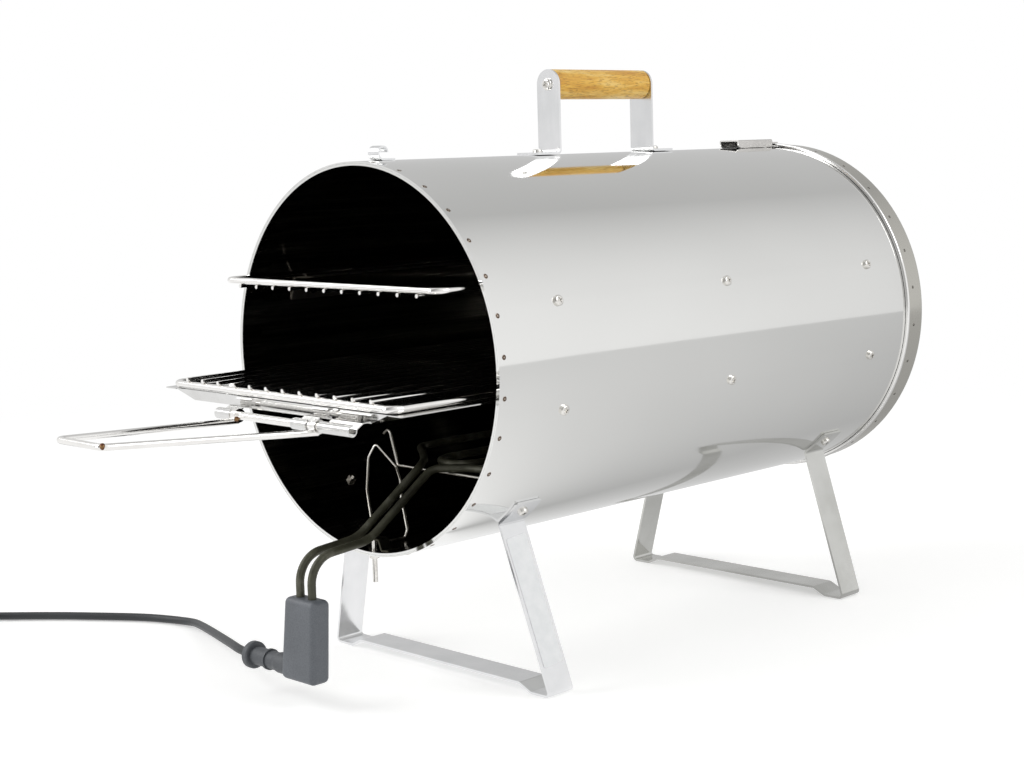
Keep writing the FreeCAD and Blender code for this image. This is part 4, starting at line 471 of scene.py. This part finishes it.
def burntWeld(name, middle, ring, rim):
    # a weld's heat tint: pale pressed middle, brown to blue-black ring, straw rim
    material, tree, shader, place = newMaterial(name)
    fromMiddle = addNode(tree, "Attribute", {"attribute_name": "fromMiddle"}).outputs["Fac"]
    patch = addNode(tree, "TexNoise", None, {"Vector": place, "Scale": 700.0, "Detail": 3.0, "Roughness": 0.55})
    uneven = addNode(tree, "MapRange", None, {0: patch.outputs["Fac"], 1: 0.3, 2: 0.7, 3: -0.12, 4: 0.12})
    shifted = addNode(tree, "Math", {"operation": "ADD"}, {0: fromMiddle, 1: uneven.outputs[0]})
    colour = addNode(tree, "ValToRGB", {"stops": [
        (0.25, hexColour(middle)), (0.5, hexColour(ring)), (0.8, hexColour(ring)), (0.98, hexColour(rim))]},
                     {0: shifted.outputs[0]})
    tree.links.new(colour.outputs[0], shader.inputs["Base Color"])
    shader.inputs["Metallic"].default_value = 0.7
    shader.inputs["Roughness"].default_value = 0.35
    return material


def weldRing(name, count, start, along, radius, dot, tint, body):
    # dots at equal angles: centre = (radius*cos, along, axis height + radius*sin)
    angle = np.radians(start + np.arange(count) * 360 / count)
    outward = np.stack([np.cos(angle), np.zeros(count), np.sin(angle)], -1)
    tangent = np.stack([-np.sin(angle), np.zeros(count), np.cos(angle)], -1)
    centres = outward * radius + np.array([0, along, drum["axisHeight"]])
    lengthwise = np.tile([0, -dot, 0], (count, 1))
    return beads(name, centres, tangent * dot, lengthwise, outward * weldSet["height"], tint, body)


rimTint = burntWeld("rimWeldTint", "#b5a99c", "#4a3527", "#c9c0b4")
lidTint = burntWeld("lidWeldTint", "#8c8780", "#4b4843", "#b5b2ab")
weldRing("rimWelds", weldSet["rimCount"], weldSet["rimStart"], drum["mouth"] + weldSet["rimBehindMouth"],
         drum["radius"], weldSet["rimDot"], rimTint, "root")
weldRing("lidWelds", weldSet["lidCount"], weldSet["lidStart"], weldSet["lidY"], weldSet["lidRadius"],
         weldSet["lidDot"], lidTint, "rear_lid")

# Welds of the tray's handle, in metres: at its two eyes and at the loop's near front corner
handleWelds = {"places": [(-0.0345, -0.2372, 0.2232), (0.0545, -0.2372, 0.2232), (0.0370, -0.3985, 0.2318)],
               "sizes": [0.0018, 0.0018, 0.0022]}


def makeHandleWelds():
    places = np.array(handleWelds["places"])
    sizes = np.array(handleWelds["sizes"])[:, None]
    tint = burntWeld("handleWeldTint", "#c7a878", "#5b3522", "#8b6b46")
    beads("handleWelds", places, sizes * [1, 0, 0], sizes * [0, 0.9, 0], sizes * [0, 0, 1.1], tint,
          "tray_handle", rows=8)


makeHandleWelds()
print("welds set")

# Blank plate stuck on the near front leg's outer face, from low to high along its middle line
plate = {"low": (0.12115, -0.06442, 0.02380), "high": (0.09248, -0.07317, 0.12215), "width": 0.0215,
         "corner": 0.002, "lift": 0.00012, "thickness": 0.0001}


def makePlate():
    # a rounded rectangle on the leg's face: corner centres plus corner*(cos, sin) of the angle
    low, high = np.array(plate["low"]), np.array(plate["high"])
    along = (high - low) / np.linalg.norm(high - low)
    outward = np.array([0.960, 0.0, 0.280])
    across = np.cross(outward, along)
    half = np.array([plate["width"], np.linalg.norm(high - low)]) / 2 - plate["corner"]
    angle = np.linspace(0, 2 * math.pi, 32, endpoint=False) + math.pi / 32
    corners = np.sign(np.stack([np.cos(angle), np.sin(angle)], -1)) * half
    flat = corners + plate["corner"] * np.stack([np.cos(angle), np.sin(angle)], -1)
    points = (low + high) / 2 + flat[:, :1] * across + flat[:, 1:] * along + outward * plate["lift"]
    material, tree, shader, place = newMaterial("blankLabelFilm")
    # printed polyester film without print: satin silver-white, faintly mottled
    mottle = addNode(tree, "TexNoise", None, {"Vector": place, "Scale": 120.0, "Detail": 3.0,
                                              "Roughness": 0.55}).outputs["Fac"]
    share = addNode(tree, "MapRange", None, {0: mottle, 1: 0.3, 2: 0.7, 3: 0.0, 4: 1.0})
    colour = addNode(tree, "Mix", {"data_type": "RGBA"},
                     {0: share.outputs[0], 6: hexColour("#f6f7f8"), 7: hexColour("#eef0f1")})
    tree.links.new(colour.outputs[2], shader.inputs["Base Color"])
    rough = addNode(tree, "MapRange", None, {0: mottle, 1: 0.3, 2: 0.7, 3: 0.3, 4: 0.4})
    tree.links.new(rough.outputs[0], shader.inputs["Roughness"])
    piece = meshPiece("blankPlate", points, [list(range(32))], material, "root", smooth=False)
    wall = piece.modifiers.new("thickness", "SOLIDIFY")
    wall.thickness = plate["thickness"]
    wall.offset = -1
    return piece


makePlate()
print("blank plate stuck on")


# Studio: pale floor, white for the camera, soft lamps, and the soft room that metal shows
studio = {"floorSize": 6.0, "floorColour": "#f1f1f0", "floorLift": 0.34, "ambient": 0.62,
          "whiteFrom": 0.8, "whiteTo": 1.7}
# What metal shows of the room, as bearing in degrees and tone: brighter to the right and the front left
roomTones = [(-180, 0.3), (-120, 1.0), (-45, 0.6), (0, 0.55), (50, 1.0), (100, 1.0), (180, 0.3)]
# the same of the floor
floorTones = [(-180, 1.0), (0, 1.0), (80, 0.5), (150, 1.0), (180, 1.0)]


def toneRamp(tree, share, tones):
    # grey by bearing, all the way round
    stops = [((angle + 180) / 360, (tone, tone, tone, 1)) for angle, tone in tones]
    return addNode(tree, "ValToRGB", {"stops": stops}, {0: share}).outputs[0]


def bearingOf(tree, first, second):
    # the angle of (first, second) as 0 to 1 for -180 to 180 degrees
    turn = addNode(tree, "Math", {"operation": "ARCTAN2"}, {0: first, 1: second})
    return addNode(tree, "MapRange", None, {"Value": turn.outputs[0], "From Min": -math.pi,
                                            "From Max": math.pi}).outputs[0]


def makeWorld():
    world = bpy.data.worlds.new("studioRoom")
    bpy.context.scene.world = world
    world.use_nodes = True
    tree = world.node_tree
    tree.nodes.clear()
    ray = addNode(tree, "LightPath")
    direction = addNode(tree, "TexCoord").outputs["Generated"]
    parts = addNode(tree, "SeparateXYZ", None, {0: direction})
    share = bearingOf(tree, parts.outputs[0], parts.outputs[1])
    metalView = addNode(tree, "Background", None, {0: toneRamp(tree, share, roomTones), 1: 1.0})
    soft = addNode(tree, "Background", None, {0: hexColour("#ffffff"), 1: studio["ambient"]})
    white = addNode(tree, "Background", None, {0: hexColour("#ffffff"), 1: 1.0})
    mirrorRay = addNode(tree, "Math", {"operation": "MAXIMUM"}, {
        0: ray.outputs["Is Glossy Ray"], 1: ray.outputs["Is Transmission Ray"]})
    seen = addNode(tree, "MixShader", None,
                   {0: mirrorRay.outputs[0], 1: soft.outputs[0], 2: metalView.outputs[0]})
    shown = addNode(tree, "MixShader", None, {0: ray.outputs["Is Camera Ray"], 1: seen.outputs[0],
                                              2: white.outputs[0]})
    end = addNode(tree, "OutputWorld")
    tree.links.new(shown.outputs[0], end.inputs[0])


def makeFloor():
    half = studio["floorSize"] / 2
    low = -0.0005  # just under the feet
    points = np.array([[-half, -half, low], [half, -half, low], [half, half, low], [-half, half, low]])
    mesh = bpy.data.meshes.new("paperFloor")
    mesh.from_pydata(points.tolist(), [], [(0, 1, 2, 3)])
    floor = bpy.data.objects.new("paperFloor", mesh)
    bpy.context.scene.collection.objects.link(floor)
    material = bpy.data.materials.new("whitePaperSweep")
    material.use_nodes = True
    tree = material.node_tree
    tree.nodes.clear()
    ray = addNode(tree, "LightPath")
    place = addNode(tree, "TexCoord").outputs["Object"]
    away = addNode(tree, "VectorMath", {"operation": "LENGTH"}, {0: place}).outputs["Value"]
    parts = addNode(tree, "SeparateXYZ", None, {0: place})
    bearing = bearingOf(tree, parts.outputs[1], parts.outputs[0])
    mirrored = addNode(tree, "Emission", None, {0: toneRamp(tree, bearing, floorTones), 1: 1.0})
    diffuse = addNode(tree, "BsdfDiffuse", None, {0: hexColour(studio["floorColour"])})
    lift = addNode(tree, "Math", {"operation": "MULTIPLY"},
                   {0: ray.outputs["Is Camera Ray"], 1: studio["floorLift"]})
    glow = addNode(tree, "Emission", None, {0: hexColour("#ffffff"), 1: lift.outputs[0]})
    lit = addNode(tree, "AddShader", None, {0: diffuse.outputs[0], 1: glow.outputs[0]})
    both = addNode(tree, "MixShader", None,
                   {0: ray.outputs["Is Glossy Ray"], 1: lit.outputs[0], 2: mirrored.outputs[0]})
    # far from the drum the camera sees plain white, so the floor has no visible end
    white = addNode(tree, "Emission", None, {0: hexColour("#ffffff"), 1: 1.0})
    far = addNode(tree, "MapRange", {"interpolation_type": "SMOOTHSTEP"}, {
        "Value": away, "From Min": studio["whiteFrom"], "From Max": studio["whiteTo"]})
    farSeen = addNode(tree, "Math", {"operation": "MULTIPLY"}, {0: far.outputs[0], 1: ray.outputs["Is Camera Ray"]})
    surface = addNode(tree, "MixShader", None, {0: farSeen.outputs[0], 1: both.outputs[0], 2: white.outputs[0]})
    end = addNode(tree, "OutputMaterial")
    tree.links.new(surface.outputs[0], end.inputs[0])
    floor.data.materials.append(material)


def makeLamp(name, place, target, size, power):
    data = bpy.data.lights.new(name, "AREA")
    data.shape = "RECTANGLE"
    data.size, data.size_y = size
    data.energy = power
    lamp = bpy.data.objects.new(name, data)
    lamp.location = place
    lamp.rotation_euler = (Vector(target) - Vector(place)).to_track_quat("-Z", "Y").to_euler()
    bpy.context.scene.collection.objects.link(lamp)


makeWorld()
makeFloor()
makeLamp("leftSoftbox", (-1.6, -1.6, 1.9), (0, 0, 0.2), (1.6, 1.2), 24)
makeLamp("mouthSoftbox", (-0.8, -2.2, 0.65), (0, 0, 0.22), (0.7, 0.5), 7)
makeLamp("rightSoftbox", (2.2, 0.6, 2.0), (0, 0, 0.2), (1.6, 1.2), 20)
bpy.context.scene.view_settings.view_transform = "Standard"
print("studio lit")
